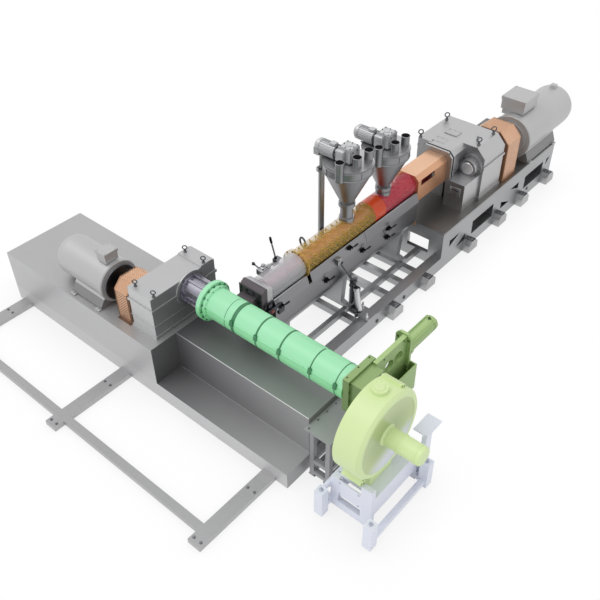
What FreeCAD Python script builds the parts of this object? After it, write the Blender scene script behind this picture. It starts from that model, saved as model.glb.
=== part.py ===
import FreeCAD, Part
import math
import os
import Sketcher
from FreeCAD import Placement, Rotation, Vector

# Kneader extruder line: a kneader stands at a right angle behind a discharge extruder and feeds it.
# X runs along the extruder towards the pelletizer, Y along the kneader towards its motor, Z up.
# The origin is on the floor, under the crossing of the extruder's and the kneader's axes.

doc = FreeCAD.newDocument("kneader_extruder")
sheet = doc.addObject("Spreadsheet::Sheet", "sizes")
nodes = []


class Size:
    """A length that is a number here and an expression on the sheet's cells in the document."""

    def __init__(self, text, value):
        self.text = text
        self.value = value

    def __add__(self, other):
        other = as_size(other)
        return Size(f"({self.text} + {other.text})", self.value + other.value)

    def __radd__(self, other):
        return as_size(other) + self

    def __sub__(self, other):
        other = as_size(other)
        return Size(f"({self.text} - {other.text})", self.value - other.value)

    def __rsub__(self, other):
        return as_size(other) - self

    def __mul__(self, other):
        other = as_size(other)
        return Size(f"({self.text} * {other.text})", self.value * other.value)

    def __rmul__(self, other):
        return as_size(other) * self

    def __truediv__(self, other):
        other = as_size(other)
        return Size(f"({self.text} / {other.text})", self.value / other.value)

    def __neg__(self):
        return Size(f"(0 - {self.text})", -self.value)


def as_size(number):
    """Take a bare number into an expression."""
    if isinstance(number, Size):
        return number
    return Size(f"({number:.9g})", float(number))


def size(name, value):
    """Write one driving dimension into the sheet and hand it back."""
    row = size.rows = getattr(size, "rows", 0) + 1
    sheet.set(f"A{row}", name)
    sheet.set(f"B{row}", str(value))
    sheet.setAlias(f"B{row}", name)
    return Size(f"sizes.{name}", float(value))


def bind(thing, what, length):
    """Tie a property of a document object to the sheet."""
    thing.setExpression(what, as_size(length).text)


def node(thing, name):
    """Name a finished piece and keep it for writing out."""
    thing.Label = name
    nodes.append(thing)
    return thing


def block(name, x, y, z):
    """A box between the low and high limits given along each axis."""
    box = doc.addObject("Part::Box", name)
    for side, axis, (low, high) in zip(("Length", "Width", "Height"), "xyz", (x, y, z)):
        bind(box, side, high - low)
        bind(box, f"Placement.Base.{axis}", low)
    return box


TURNS = {"X": Rotation(Vector(0, 1, 0), 90), "Y": Rotation(Vector(1, 0, 0), -90), "Z": Rotation()}


def rod(name, axis, start, radius, length):
    """A cylinder from its start point along the named axis."""
    bar = doc.addObject("Part::Cylinder", name)
    bar.Placement = Placement(Vector(0, 0, 0), TURNS[axis])
    bind(bar, "Radius", radius)
    bind(bar, "Height", length)
    for letter, place in zip("xyz", start):
        bind(bar, f"Placement.Base.{letter}", place)
    return bar


def several(kind, name, things):
    """Join shapes (Part::MultiFuse) or keep them side by side in one piece (Part::Compound)."""
    whole = doc.addObject(kind, name)
    setattr(whole, "Links" if kind == "Part::Compound" else "Shapes", things)
    return whole


def cut_away(name, base, tool):
    """Take the tool's shape out of the base."""
    rest = doc.addObject("Part::Cut", name)
    rest.Base = base
    rest.Tool = tool
    return rest


def new_body(name):
    """Start a body that carries the piece's name."""
    return doc.addObject("PartDesign::Body", name)


def sketch(body, plane, origin, outlines):
    """A sketch on one of the body's own planes, its outlines tied to the sheet point by point."""
    page = body.newObject("Sketcher::SketchObject", f"{body.Name}_sketch")
    support = [feature for feature in body.Origin.OriginFeatures if feature.Role == f"{plane}_Plane"]
    page.AttachmentSupport = (support[0], [""])
    page.MapMode = "FlatFace"
    x, y, z = origin
    shifts = {"XY": (x, y, z), "XZ": (x, z, -as_size(y)), "YZ": (y, z, x)}[plane]
    for letter, shift in zip("xyz", shifts):
        bind(page, f"AttachmentOffset.Base.{letter}", shift)
    for outline in outlines:
        if isinstance(outline, tuple):
            draw_circle(page, *outline)
        else:
            draw_outline(page, outline)
    return page


def tie_point(page, geometry, corner, point):
    """Hold a point of the sketch at a distance from the sketch's origin."""
    for kind, place in zip(("DistanceX", "DistanceY"), point):
        place = as_size(place)
        row = page.addConstraint(Sketcher.Constraint(kind, -1, 1, geometry, corner, place.value))
        page.setExpression(f"Constraints[{row}]", place.text)


def draw_circle(page, across, up, radius):
    """A circle by its centre and radius."""
    across, up, radius = as_size(across), as_size(up), as_size(radius)
    centre = Vector(across.value, up.value, 0)
    ring = page.addGeometry(Part.Circle(centre, Vector(0, 0, 1), radius.value), False)
    row = page.addConstraint(Sketcher.Constraint("Radius", ring, radius.value))
    page.setExpression(f"Constraints[{row}]", radius.text)
    tie_point(page, ring, 3, (across, up))


def draw_outline(page, points):
    """A closed outline of straight edges through the points."""
    corners = [Vector(as_size(u).value, as_size(v).value, 0) for u, v in points]
    edges = []
    for start, end in zip(corners, corners[1:] + corners[:1]):
        edges.append(page.addGeometry(Part.LineSegment(start, end), False))
    for edge, following in zip(edges, edges[1:] + edges[:1]):
        page.addConstraint(Sketcher.Constraint("Coincident", edge, 2, following, 1))
    for edge, point in zip(edges, points):
        tie_point(page, edge, 1, point)


def pad(body, plane, origin, length, *outlines):
    """Raise outlines from the origin's plane towards the positive axis."""
    rise = body.newObject("PartDesign::Pad", f"{body.Name}_pad")
    rise.Profile = sketch(body, plane, origin, outlines)
    rise.Reversed = plane == "XZ"
    bind(rise, "Length", length)
    return rise


def pocket(body, plane, origin, length, *outlines):
    """Cut outlines from the origin's plane towards the positive axis."""
    hollow = body.newObject("PartDesign::Pocket", f"{body.Name}_pocket")
    hollow.Profile = sketch(body, plane, origin, outlines)
    hollow.Reversed = plane != "XZ"
    bind(hollow, "Length", length)
    return hollow


TURN_PLANES = {"X": ("XZ", "H_Axis"), "Y": ("YZ", "H_Axis"), "Z": ("XZ", "V_Axis")}


def turn(body, axis, origin, *outlines, kind="PartDesign::Revolution"):
    """Turn outlines of (along, radius), or (radius, up) about Z, round the axis through the origin."""
    plane, line = TURN_PLANES[axis]
    round_form = body.newObject(kind, f"{body.Name}_turn")
    page = sketch(body, plane, origin, outlines)
    round_form.Profile = page
    round_form.ReferenceAxis = (page, [line])
    round_form.Angle = 360
    return round_form


def ring_of(body, feature, count):
    """Repeat a feature round the normal of its own sketch."""
    doc.recompute()
    pattern = body.newObject("PartDesign::PolarPattern", f"{body.Name}_ring")
    pattern.Originals = [feature]
    pattern.Axis = (feature.Profile[0], ["N_Axis"])
    pattern.Angle = 360
    pattern.Occurrences = count
    body.Tip = pattern
    return pattern


def rectangle(u, v):
    """The four corners between low and high limits."""
    return [(u[0], v[0]), (u[1], v[0]), (u[1], v[1]), (u[0], v[1])]


def arch(half_width, height, chamfer):
    """The outline of a guard hood with two chamfered shoulders, about its own centre line."""
    return [
        (-half_width, 0),
        (half_width, 0),
        (half_width, height - chamfer),
        (half_width - chamfer, height),
        (chamfer - half_width, height),
        (-half_width, height - chamfer),
    ]


# Foundation: a slab of cast concrete faced in steel, with a high plinth under the extruder's drive
# and a narrower one under its barrel.
slab_height = size("slab_height", 320)
slab_rear = size("slab_rear", 4960)
slab_front = size("slab_front", 2030)
slab_near = size("slab_near", 1080)
slab_far = size("slab_far", 620)
plinth_height = size("plinth_height", 780)
plinth_step = size("plinth_step", 890)
barrel_plinth_front = size("barrel_plinth_front", 2000)
barrel_plinth_half = size("barrel_plinth_half", 530)
plinth_top = slab_height + plinth_height
slab = block("slab", (-slab_rear, slab_front), (-slab_near, slab_far), (as_size(0), slab_height))
node(slab, "foundation_slab")
node(
    block("plinth", (-slab_rear, -plinth_step), (-slab_near, slab_far), (slab_height, plinth_top)),
    "drive_plinth",
)
node(
    block(
        "barrel_plinth",
        (-plinth_step, barrel_plinth_front),
        (-barrel_plinth_half, barrel_plinth_half),
        (slab_height, plinth_top),
    ),
    "barrel_plinth",
)

# Floor beams: three flat beams run out from the slab's long side, and a rail ties them together.
beam_height = size("beam_height", 90)
beam_width = size("beam_width", 250)
beam_reach = size("beam_reach", 1620)
beam_places = [size("beam_one", -4780), size("beam_two", -1860), size("beam_three", 1545)]
rail_width = size("rail_width", 140)
rail_distance = size("rail_distance", 1290)
rail_near = -slab_near - rail_distance
beams = []
rails = []
for place in beam_places:
    across = (-slab_near - beam_reach, -slab_near)
    beams.append(block("beam", (place, place + beam_width), across, (as_size(0), beam_height)))
for place, following in zip(beam_places, beam_places[1:]):
    reach = (place + beam_width, following)
    rails.append(block("rail", reach, (rail_near - rail_width, rail_near), (as_size(0), beam_height)))
node(several("Part::Compound", "beams", beams), "floor_crossbeams")
node(several("Part::Compound", "rails", rails), "floor_rails")

# The extruder's drive: motor, coupling under a guard, and gearbox in line on the high plinth.
extruder_axis_rise = size("extruder_axis_rise", 590)
extruder_gear_reach = size("extruder_gear_reach", 1010)
extruder_gear_length = size("extruder_gear_length", 560)
extruder_gear_near = size("extruder_gear_near", 840)
extruder_gear_far = size("extruder_gear_far", 570)
extruder_gear_height = size("extruder_gear_height", 840)
gear_flange_proud = size("gear_flange_proud", 22)
gear_flange_thickness = size("gear_flange_thickness", 50)
gear_foot_height = size("gear_foot_height", 60)
gear_foot_proud = size("gear_foot_proud", 20)
extruder_axis = plinth_top + extruder_axis_rise
extruder_gear_front = -extruder_gear_reach
extruder_gear_back = extruder_gear_front - extruder_gear_length
extruder_gear_top = plinth_top + extruder_gear_height

gearbox = new_body("extruder_gearbox")
gear_sides = (-extruder_gear_near, extruder_gear_far)


def widened(limits, margin):
    """Limits moved outwards by a margin."""
    return (limits[0] - margin, limits[1] + margin)


gear_ends = (extruder_gear_back, extruder_gear_front)
pad(
    gearbox,
    "XY",
    (0, 0, plinth_top),
    gear_foot_height,
    rectangle(widened(gear_ends, gear_foot_proud), widened(gear_sides, gear_foot_proud)),
)
pad(gearbox, "XY", (0, 0, plinth_top), extruder_gear_height, rectangle(gear_ends, gear_sides))
pad(
    gearbox,
    "XY",
    (0, 0, extruder_axis - gear_flange_thickness / 2),
    gear_flange_thickness,
    rectangle(widened(gear_ends, gear_flange_proud), widened(gear_sides, gear_flange_proud)),
)
# A thin second joint runs round the lower half.
lower_joint_rise = size("lower_joint_rise", 260)
lower_joint_thickness = size("lower_joint_thickness", 24)
lower_joint_proud = size("lower_joint_proud", 10)
pad(
    gearbox,
    "XY",
    (0, 0, plinth_top + lower_joint_rise - lower_joint_thickness / 2),
    lower_joint_thickness,
    rectangle(widened(gear_ends, lower_joint_proud), widened(gear_sides, lower_joint_proud)),
)
# Round caps stand proud of the housing: one in front for the barrel's lantern, one behind for the motor.
gear_cap_radius = size("gear_cap_radius", 320)
input_cap_radius = size("input_cap_radius", 230)
gear_cap_depth = size("gear_cap_depth", 25)
extruder_motor_side = size("extruder_motor_side", -530)
extruder_motor_rise = size("extruder_motor_rise", 400)
extruder_motor_axis = plinth_top + extruder_motor_rise
lantern_back = extruder_gear_front + gear_cap_depth
input_face = extruder_gear_back - gear_cap_depth
pad(gearbox, "YZ", (extruder_gear_front, 0, extruder_axis), gear_cap_depth, (0, 0, gear_cap_radius))
pad(
    gearbox,
    "YZ",
    (input_face, extruder_motor_side, extruder_motor_axis),
    gear_cap_depth,
    (0, 0, input_cap_radius),
)
# A raised bar lies across the lid at its far end.
lid_bar_height = size("lid_bar_height", 20)
lid_bar_width = size("lid_bar_width", 260)
lid_bar_inset = size("lid_bar_inset", 40)
lid_bar_far = extruder_gear_far - lid_bar_inset
pad(
    gearbox,
    "XY",
    (0, 0, extruder_gear_top),
    lid_bar_height,
    rectangle(gear_ends, (lid_bar_far - lid_bar_width, lid_bar_far)),
)
node(gearbox, "extruder_gearbox")

# A coupling shaft with two hubs joins motor and gearbox.
coupling_length = size("coupling_length", 605)
coupling_shaft = size("coupling_shaft", 60)
coupling_hub = size("coupling_hub", 150)
coupling_hub_length = size("coupling_hub_length", 170)
coupling_gap = size("coupling_gap", 40)
extruder_motor_front = input_face - coupling_length


def coupling(name, axis, origin, length):
    """A shaft with a hub pair at its middle, turned about its own axis from the origin on."""
    piece = new_body(name)
    hub_start = (length - coupling_hub_length * 2 - coupling_gap) / 2
    turn(
        piece,
        axis,
        origin,
        [
            (0, 0),
            (0, coupling_shaft),
            (hub_start, coupling_shaft),
            (hub_start, coupling_hub),
            (hub_start + coupling_hub_length, coupling_hub),
            (hub_start + coupling_hub_length, coupling_hub * 0.8),
            (hub_start + coupling_hub_length + coupling_gap, coupling_hub * 0.8),
            (hub_start + coupling_hub_length + coupling_gap, coupling_hub),
            (length - hub_start, coupling_hub),
            (length - hub_start, coupling_shaft),
            (length, coupling_shaft),
            (length, 0),
        ],
    )
    return node(piece, name)


coupling(
    "extruder_coupling",
    "X",
    (extruder_motor_front, extruder_motor_side, extruder_motor_axis),
    coupling_length,
)

# Each motor is a turned frame with a domed fan cowl at the rear, on two splayed feet.
motor_rim = size("motor_rim", 18)
motor_rim_width = size("motor_rim_width", 60)
motor_disc_depth = size("motor_disc_depth", 60)
foot_thickness = size("foot_thickness", 40)


def motor(name, axis, origin, radius, length, foot_half, rise):
    """A motor whose shaft end is at the origin and whose body runs away along the axis."""
    piece = new_body(name)
    x, y, z = origin
    way = -1 if axis == "X" else 1
    rear = length * way
    shoulder = (length - radius * 0.5) * way
    rim = (motor_disc_depth + motor_rim_width) * way
    disc = motor_disc_depth * way
    turn(
        piece,
        axis,
        origin,
        [
            (rear, 0),
            (rear, radius * 0.62),
            (rear + (shoulder - rear) * 0.22, radius * 0.84),
            (rear + (shoulder - rear) * 0.55, radius * 0.96),
            (shoulder, radius),
            (rim, radius),
            (rim, radius + motor_rim),
            (disc, radius + motor_rim),
            (disc, radius * 0.8),
            (0, radius * 0.8),
            (0, 0),
        ],
    )
    flank = radius * 0.82
    slot = radius * 0.45
    foot = [
        (-foot_half, -rise),
        (-slot, -rise),
        (-slot, foot_thickness - rise),
        (slot, foot_thickness - rise),
        (slot, -rise),
        (foot_half, -rise),
        (foot_half, foot_thickness - rise),
        (flank, -radius * 0.45),
        (-flank, -radius * 0.45),
        (-foot_half, foot_thickness - rise),
    ]
    foot_length = length * 0.57
    foot_start = length * 0.06
    if axis == "X":
        pad(piece, "YZ", (x - foot_start - foot_length, y, z), foot_length, foot)
    else:
        pad(piece, "XZ", (x, y + foot_start, z), foot_length, foot)
    return node(piece, name)


extruder_motor_radius = size("extruder_motor_radius", 372)
extruder_motor_length = size("extruder_motor_length", 1400)
extruder_motor_foot = size("extruder_motor_foot", 440)
motor(
    "extruder_motor",
    "X",
    (extruder_motor_front, extruder_motor_side, extruder_motor_axis),
    extruder_motor_radius,
    extruder_motor_length,
    extruder_motor_foot,
    extruder_motor_rise,
)

# Terminal boxes sit on the motors' backs on a short neck.
box_wall = size("box_wall", 12)


def terminal_box(name, along, across, foot, top, neck):
    """A lidded box between limits along and across, its neck reaching down to the motor's back."""
    piece = new_body(name)
    neck_u = (along[0] + neck, along[1] - neck)
    neck_v = (across[0] + neck, across[1] - neck)
    lid = (top - foot) * 0.18
    middle = foot + (top - foot) * 0.3
    pad(piece, "XY", (0, 0, middle), top - middle, rectangle(along, across))
    pad(piece, "XY", (0, 0, foot), middle - foot, rectangle(neck_u, neck_v))
    lid_u = (along[0] - box_wall, along[1] + box_wall)
    lid_v = (across[0] - box_wall, across[1] + box_wall)
    pad(piece, "XY", (0, 0, top - lid), lid, rectangle(lid_u, lid_v))
    return piece


extruder_box_length = size("extruder_box_length", 230)
extruder_box_setback = size("extruder_box_setback", 130)
extruder_box_side = size("extruder_box_side", 130)
extruder_box_height = size("extruder_box_height", 215)
box_neck = size("box_neck", 30)
box_start = extruder_motor_front - extruder_box_setback
extruder_box = terminal_box(
    "extruder_terminal_box_block",
    (box_start - extruder_box_length, box_start),
    (extruder_motor_side - extruder_box_side, extruder_motor_side + extruder_box_side),
    extruder_motor_axis + extruder_motor_radius * 0.8,
    extruder_motor_axis + extruder_motor_radius + extruder_box_height,
    box_neck,
)
motor_back = rod(
    "extruder_motor_back",
    "X",
    (extruder_motor_front - extruder_motor_length, extruder_motor_side, extruder_motor_axis),
    extruder_motor_radius,
    extruder_motor_length,
)
node(cut_away("extruder_box_cut", extruder_box, motor_back), "extruder_terminal_box")

# Guard hoods of perforated copper-coloured sheet stand over the couplings.
guard_sheet = size("guard_sheet", 15)
guard_length = size("guard_length", 330)
guard_setback = size("guard_setback", 30)
extruder_guard_half = size("extruder_guard_half", 330)
extruder_guard_height = size("extruder_guard_height", 780)
extruder_guard_chamfer = size("extruder_guard_chamfer", 160)


def guard(name, plane, origin, length, half_width, height, chamfer):
    """A bent-sheet hood, open at both ends and below."""
    piece = new_body(name)
    pad(piece, plane, origin, length, arch(half_width, height, chamfer))
    inner = arch(half_width - guard_sheet, height - guard_sheet, chamfer - guard_sheet * 0.4)
    pocket(piece, plane, origin, length, inner)
    return node(piece, name)


guard(
    "extruder_coupling_guard",
    "YZ",
    (extruder_gear_back - guard_setback - guard_length, extruder_motor_side, plinth_top),
    guard_length,
    extruder_guard_half,
    extruder_guard_height,
    extruder_guard_chamfer,
)

# A ribbed lantern carries the barrel on the gearbox face, round the thrust bearing.
lantern_length = size("lantern_length", 465)
lantern_radius = size("lantern_radius", 215)
lantern_rib = size("lantern_rib", 35)
lantern_rib_width = size("lantern_rib_width", 34)
lantern_rim = size("lantern_rim", 270)
lantern_rim_width = size("lantern_rim_width", 40)
lantern = new_body("extruder_lantern")
turn(
    lantern,
    "X",
    (lantern_back, 0, extruder_axis),
    [
        (0, 0),
        (0, lantern_rim),
        (lantern_rim_width, lantern_rim),
        (lantern_rim_width, lantern_radius),
        (lantern_length - lantern_rim_width, lantern_radius),
        (lantern_length - lantern_rim_width, lantern_rim),
        (lantern_length, lantern_rim),
        (lantern_length, 0),
    ],
)
rib = pad(
    lantern,
    "YZ",
    (lantern_back + lantern_rim_width / 2, 0, extruder_axis),
    lantern_length - lantern_rim_width,
    rectangle((0, lantern_radius + lantern_rib), (-lantern_rib_width / 2, lantern_rib_width / 2)),
)
ring_of(lantern, rib, 10)
node(lantern, "extruder_lantern")

# The green extruder barrel: a bolted feed flange, five heated sections with a groove at each joint,
# and an end flange.
barrel_radius = size("barrel_radius", 268)
joint_groove = size("joint_groove", 10)
joint_depth = size("joint_depth", 14)
feed_flange_radius = size("feed_flange_radius", 350)
feed_flange_thickness = size("feed_flange_thickness", 80)
feed_neck_radius = size("feed_neck_radius", 290)
flange_bolt_radius = size("flange_bolt_radius", 18)
flange_bolt_height = size("flange_bolt_height", 16)
flange_bolt_circle = size("flange_bolt_circle", 318)
feed_flange_back = lantern_back + lantern_length
feed_flange_front = feed_flange_back + feed_flange_thickness
feed_flange = new_body("extruder_feed_flange")
turn(
    feed_flange,
    "X",
    (feed_flange_back, 0, extruder_axis),
    rectangle((0, feed_flange_thickness), (0, feed_flange_radius)),
)
bolt = pad(
    feed_flange,
    "YZ",
    (feed_flange_front, 0, extruder_axis),
    flange_bolt_height,
    (0, flange_bolt_circle, flange_bolt_radius),
)
ring_of(feed_flange, bolt, 16)
node(feed_flange, "extruder_feed_flange")

section_lengths = [
    size("barrel_section_one", 641),
    size("barrel_section_two", 511),
    size("barrel_section_three", 474),
    size("barrel_section_four", 514),
    size("barrel_section_five", 545),
]
barrel = new_body("extruder_barrel")
profile = [(0, 0)]
station = as_size(0)
for length in section_lengths:
    profile += [
        (station, barrel_radius - joint_depth),
        (station + joint_groove, barrel_radius - joint_depth),
        (station + joint_groove, barrel_radius),
        (station + length, barrel_radius),
    ]
    station = station + length
profile.append((station, 0))
turn(barrel, "X", (feed_flange_front, 0, extruder_axis), profile)
node(barrel, "extruder_barrel")

end_flange_length = size("end_flange_length", 135)
end_flange = new_body("extruder_end_flange")
turn(
    end_flange,
    "X",
    (feed_flange_front + station, 0, extruder_axis),
    [
        (0, 0),
        (0, barrel_radius - joint_depth),
        (joint_groove, barrel_radius - joint_depth),
        (joint_groove, barrel_radius),
        (end_flange_length, barrel_radius),
        (end_flange_length, 0),
    ],
)
node(end_flange, "extruder_end_flange")
changer_back = feed_flange_front + station + end_flange_length

# Screen changer: a square plate, a thick body and a round collar towards the hood. An arm with two
# round windows reaches over a tray to the flange of the cylinder that pushes the slide.
changer_plate_length = size("changer_plate_length", 110)
changer_block_length = size("changer_block_length", 210)
changer_collar_length = size("changer_collar_length", 190)
changer_half_height = size("changer_half_height", 325)
changer_rise = size("changer_rise", 300)
changer_near = size("changer_near", 245)
changer_far = size("changer_far", 390)
block_near = size("block_near", 200)
block_far = size("block_far", 300)
block_drop = size("block_drop", 270)
block_rise = size("block_rise", 250)
collar_half = size("changer_collar", 230)
block_back = changer_back + changer_plate_length
collar_back = block_back + changer_block_length
changer_front = collar_back + changer_collar_length
changer = new_body("screen_changer_body")
pad(
    changer,
    "YZ",
    (changer_back, 0, extruder_axis),
    changer_plate_length,
    rectangle((-changer_near, changer_far), (-changer_half_height, changer_rise)),
)
pad(
    changer,
    "YZ",
    (changer_back, 0, extruder_axis),
    changer_plate_length + changer_block_length,
    rectangle((-block_near, block_far), (-block_drop, block_rise)),
)
pad(changer, "YZ", (collar_back, 0, extruder_axis), changer_collar_length, (0, 0, collar_half))
node(changer, "screen_changer_body")

arm_back = size("arm_back", 2500)
arm_thickness = size("arm_thickness", 75)
arm_drop = size("arm_drop", 290)
arm_rise = size("arm_rise", 295)
arm_window = size("arm_window", 110)
arm_window_places = [size("arm_window_one", 626), size("arm_window_two", 866)]
flange_face = size("bracket_flange_face", 1060)
flange_thickness = size("bracket_flange_thickness", 50)
flange_back = size("bracket_flange_back", 2370)
flange_front = size("bracket_flange_front", 2645)
flange_low = size("bracket_flange_low", 1311)
flange_high = size("bracket_flange_high", 2008)
flange_corner = size("bracket_flange_corner", 70)
tray_front = size("tray_front", 2750)
tray_near = size("tray_near", 400)
tray_far = size("tray_far", 1140)
tray_low = size("tray_low", 930)
tray_high = size("tray_high", 1450)
tray_wall = size("tray_wall", 20)
arm_front = arm_back + arm_thickness
bracket = new_body("screen_changer_bracket")
pad(
    bracket,
    "XY",
    (0, 0, tray_low),
    tray_high - tray_low,
    rectangle((arm_front - tray_wall, tray_front), (tray_near, tray_far)),
)
pocket(
    bracket,
    "XY",
    (0, 0, tray_low + tray_wall),
    tray_high - tray_low,
    rectangle((arm_front, tray_front - tray_wall), (tray_near + tray_wall, tray_far - tray_wall)),
)
pad(
    bracket,
    "YZ",
    (arm_back, 0, extruder_axis),
    arm_thickness,
    rectangle((block_far, flange_face), (-arm_drop, arm_rise)),
)
pocket(
    bracket,
    "YZ",
    (arm_back, 0, extruder_axis),
    arm_thickness,
    *[(place, 0, arm_window) for place in arm_window_places],
)
pad(
    bracket,
    "XZ",
    (0, flange_face, 0),
    flange_thickness,
    [
        (flange_back, flange_low),
        (flange_front, flange_low),
        (flange_front, flange_high - flange_corner),
        (flange_front - flange_corner, flange_high),
        (flange_back + flange_corner, flange_high),
        (flange_back, flange_high - flange_corner),
    ],
)
node(bracket, "screen_changer_bracket")

slide_back = size("slide_back", 2410)
slide_width = size("slide_width", 80)
slide_height = size("slide_height", 90)
node(
    block(
        "slide",
        (slide_back, slide_back + slide_width),
        (changer_far, flange_face),
        (extruder_axis - slide_height / 2, extruder_axis + slide_height / 2),
    ),
    "screen_changer_slide",
)

cylinder_radius = size("cylinder_radius", 115)
cylinder_length = size("cylinder_length", 770)
cylinder_boss = size("cylinder_boss", 150)
cylinder_boss_depth = size("cylinder_boss_depth", 60)
cylinder_drop = size("cylinder_drop", 30)
ram = new_body("screen_changer_cylinder")
turn(
    ram,
    "Y",
    (arm_back, flange_face + flange_thickness, extruder_axis - cylinder_drop),
    [
        (0, 0),
        (0, cylinder_boss),
        (cylinder_boss_depth, cylinder_boss),
        (cylinder_boss_depth, cylinder_radius),
        (cylinder_length - cylinder_boss_depth, cylinder_radius),
        (cylinder_length, cylinder_radius * 0.8),
        (cylinder_length, 0),
    ],
)
node(ram, "screen_changer_cylinder")

# The changer rests on a stand of square legs with a top plate and a pedestal.
stand_top = size("stand_top", 1000)
stand_plate = size("stand_plate", 25)
stand_near = size("stand_near", 651)
stand_far = size("stand_far", 520)
stand_leg = size("stand_leg", 80)
stand_gap = size("stand_gap", 10)
stand_length = size("stand_length", 490)
stand_leg_back = size("stand_leg_back", 105)
stand_rail_heights = [size("stand_rail_low", 60), size("stand_rail_high", 330)]
pedestal_width = size("pedestal_width", 300)
stand_back = barrel_plinth_front + stand_gap
stand_front = stand_back + stand_length
stand_pieces = [
    block(
        "stand_plate_block",
        (stand_back, stand_front),
        (-stand_near, stand_far),
        (stand_top - stand_plate, stand_top),
    )
]
stand_xs = (stand_back + stand_leg_back, stand_front - stand_leg)
stand_ys = (-stand_near, stand_far - stand_leg)
for x in stand_xs:
    for y in stand_ys:
        stand_pieces.append(
            block("stand_leg", (x, x + stand_leg), (y, y + stand_leg), (as_size(0), stand_top - stand_plate))
        )
for low in stand_rail_heights:
    tall = (low, low + stand_leg)
    for x in stand_xs:
        long = (stand_ys[0], stand_ys[1] + stand_leg)
        stand_pieces.append(block("stand_rail", (x, x + stand_leg), long, tall))
    for y in stand_ys:
        long = (stand_xs[0], stand_xs[1] + stand_leg)
        stand_pieces.append(block("stand_rail", long, (y, y + stand_leg), tall))
node(several("Part::MultiFuse", "stand", stand_pieces), "changer_stand")
pedestal = new_body("changer_pedestal")
pedestal_low = extruder_axis - changer_half_height
pad(
    pedestal,
    "YZ",
    (changer_back, 0, stand_top),
    changer_plate_length,
    [
        (-pedestal_width * 0.7, 0),
        (pedestal_width * 0.7, 0),
        (pedestal_width * 0.7, stand_plate),
        (pedestal_width * 0.4, (pedestal_low - stand_top) * 0.4),
        (pedestal_width * 0.4, pedestal_low - stand_top),
        (-pedestal_width * 0.4, pedestal_low - stand_top),
        (-pedestal_width * 0.4, (pedestal_low - stand_top) * 0.4),
        (-pedestal_width * 0.7, stand_plate),
    ],
)
node(pedestal, "changer_pedestal")

# Pelletizer: a cutter hood set off to the near side of the melt axis, its cutter motor in front.
hood_side = size("hood_side", -400)
hood_drop = size("hood_drop", 54)
hood_radius = size("hood_radius", 705)
hood_depth = size("hood_depth", 430)
hood_rim = size("hood_rim", 60)
hood_recess = size("hood_recess", 90)
hood_edge = size("hood_edge", 40)
hood_axis = extruder_axis - hood_drop
hood_front = changer_front + hood_depth
hood = new_body("pelletizer_hood")
turn(
    hood,
    "X",
    (changer_front, hood_side, hood_axis),
    [
        (0, 0),
        (0, hood_radius),
        (hood_depth - hood_edge, hood_radius),
        (hood_depth, hood_radius - hood_edge),
        (hood_depth, hood_radius - hood_rim - hood_edge),
        (hood_depth - hood_recess, hood_radius - hood_rim - hood_edge),
        (hood_depth - hood_recess, 0),
    ],
)
# The hood is split along a leaning line; the halves' seam flange stands proud above and below.
seam_start = size("seam_start", 10)
seam_half = size("seam_half", 55)
seam_lean = math.radians(58.6)
seam_low = -size("seam_low_reach", 855)
seam_high = size("seam_high_reach", 745)
seam_corners = []
for reach, side in ((seam_low, 1), (seam_low, -1), (seam_high, -1), (seam_high, 1)):
    across = reach * math.cos(seam_lean) - seam_half * side * math.sin(seam_lean)
    up = reach * math.sin(seam_lean) + seam_half * side * math.cos(seam_lean)
    seam_corners.append((across, up))
pad(
    hood,
    "YZ",
    (changer_front + seam_start, hood_side, hood_axis),
    hood_depth - hood_recess - seam_start,
    seam_corners,
)
# A round inspection lid sits on the crown.
crown_side = size("crown_side", 50)
crown_radius = size("crown_radius", 120)
crown_rise = size("crown_rise", 60)
pad(
    hood,
    "XY",
    (changer_front + hood_depth * 0.42, hood_side + crown_side, hood_axis + hood_radius - crown_rise),
    crown_rise * 2,
    (0, 0, crown_radius),
)
node(hood, "pelletizer_hood")

cutter_motor_radius = size("cutter_motor_radius", 145)
cutter_motor_length = size("cutter_motor_length", 660)
cutter_hub_radius = size("cutter_hub_radius", 190)
cutter_hub_length = size("cutter_hub_length", 90)
cutter = new_body("pelletizer_motor")
turn(
    cutter,
    "X",
    (hood_front - hood_recess, hood_side, hood_axis),
    [
        (0, 0),
        (0, cutter_hub_radius),
        (cutter_hub_length * 0.4, cutter_hub_radius),
        (cutter_hub_length, cutter_motor_radius),
        (cutter_motor_length - cutter_hub_length * 0.3, cutter_motor_radius),
        (cutter_motor_length, cutter_motor_radius * 0.86),
        (cutter_motor_length, 0),
    ],
)
node(cutter, "pelletizer_motor")

# The hood's trolley: a table between four posts, panelled in front and at one side, on a base frame
# with four corner blocks. A small wing shelf stands beside it on a leg of its own.
table_height = size("table_height", 700)
table_thickness = size("table_thickness", 30)
table_back = size("table_back", 2700)
table_front = size("table_front", 3430)
table_near = size("table_near", 865)
table_far = size("table_far", 373)
post_depth = size("trolley_post_depth", 85)
slim_post = size("slim_post", 130)
wide_post = size("wide_post", 190)
wide_post_height = size("wide_post_height", 900)
trolley_clearance = size("trolley_clearance", 40)
panel = size("trolley_panel", 20)
panel_low = size("panel_low", 370)
apron_low = size("apron_low", 310)
rail_top = size("trolley_rail_top", 190)
under_table = table_height - table_thickness
inner_y = (post_depth - table_near, table_far)
node(
    block("table", (table_back, table_front), inner_y, (under_table, table_height)),
    "trolley_table",
)
left = (table_back, table_back + slim_post)
right = (table_front - wide_post, table_front)
between_posts = (left[1], right[0])
near_row = (-table_near, post_depth - table_near)
far_row = (table_far - post_depth, table_far)
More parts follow.
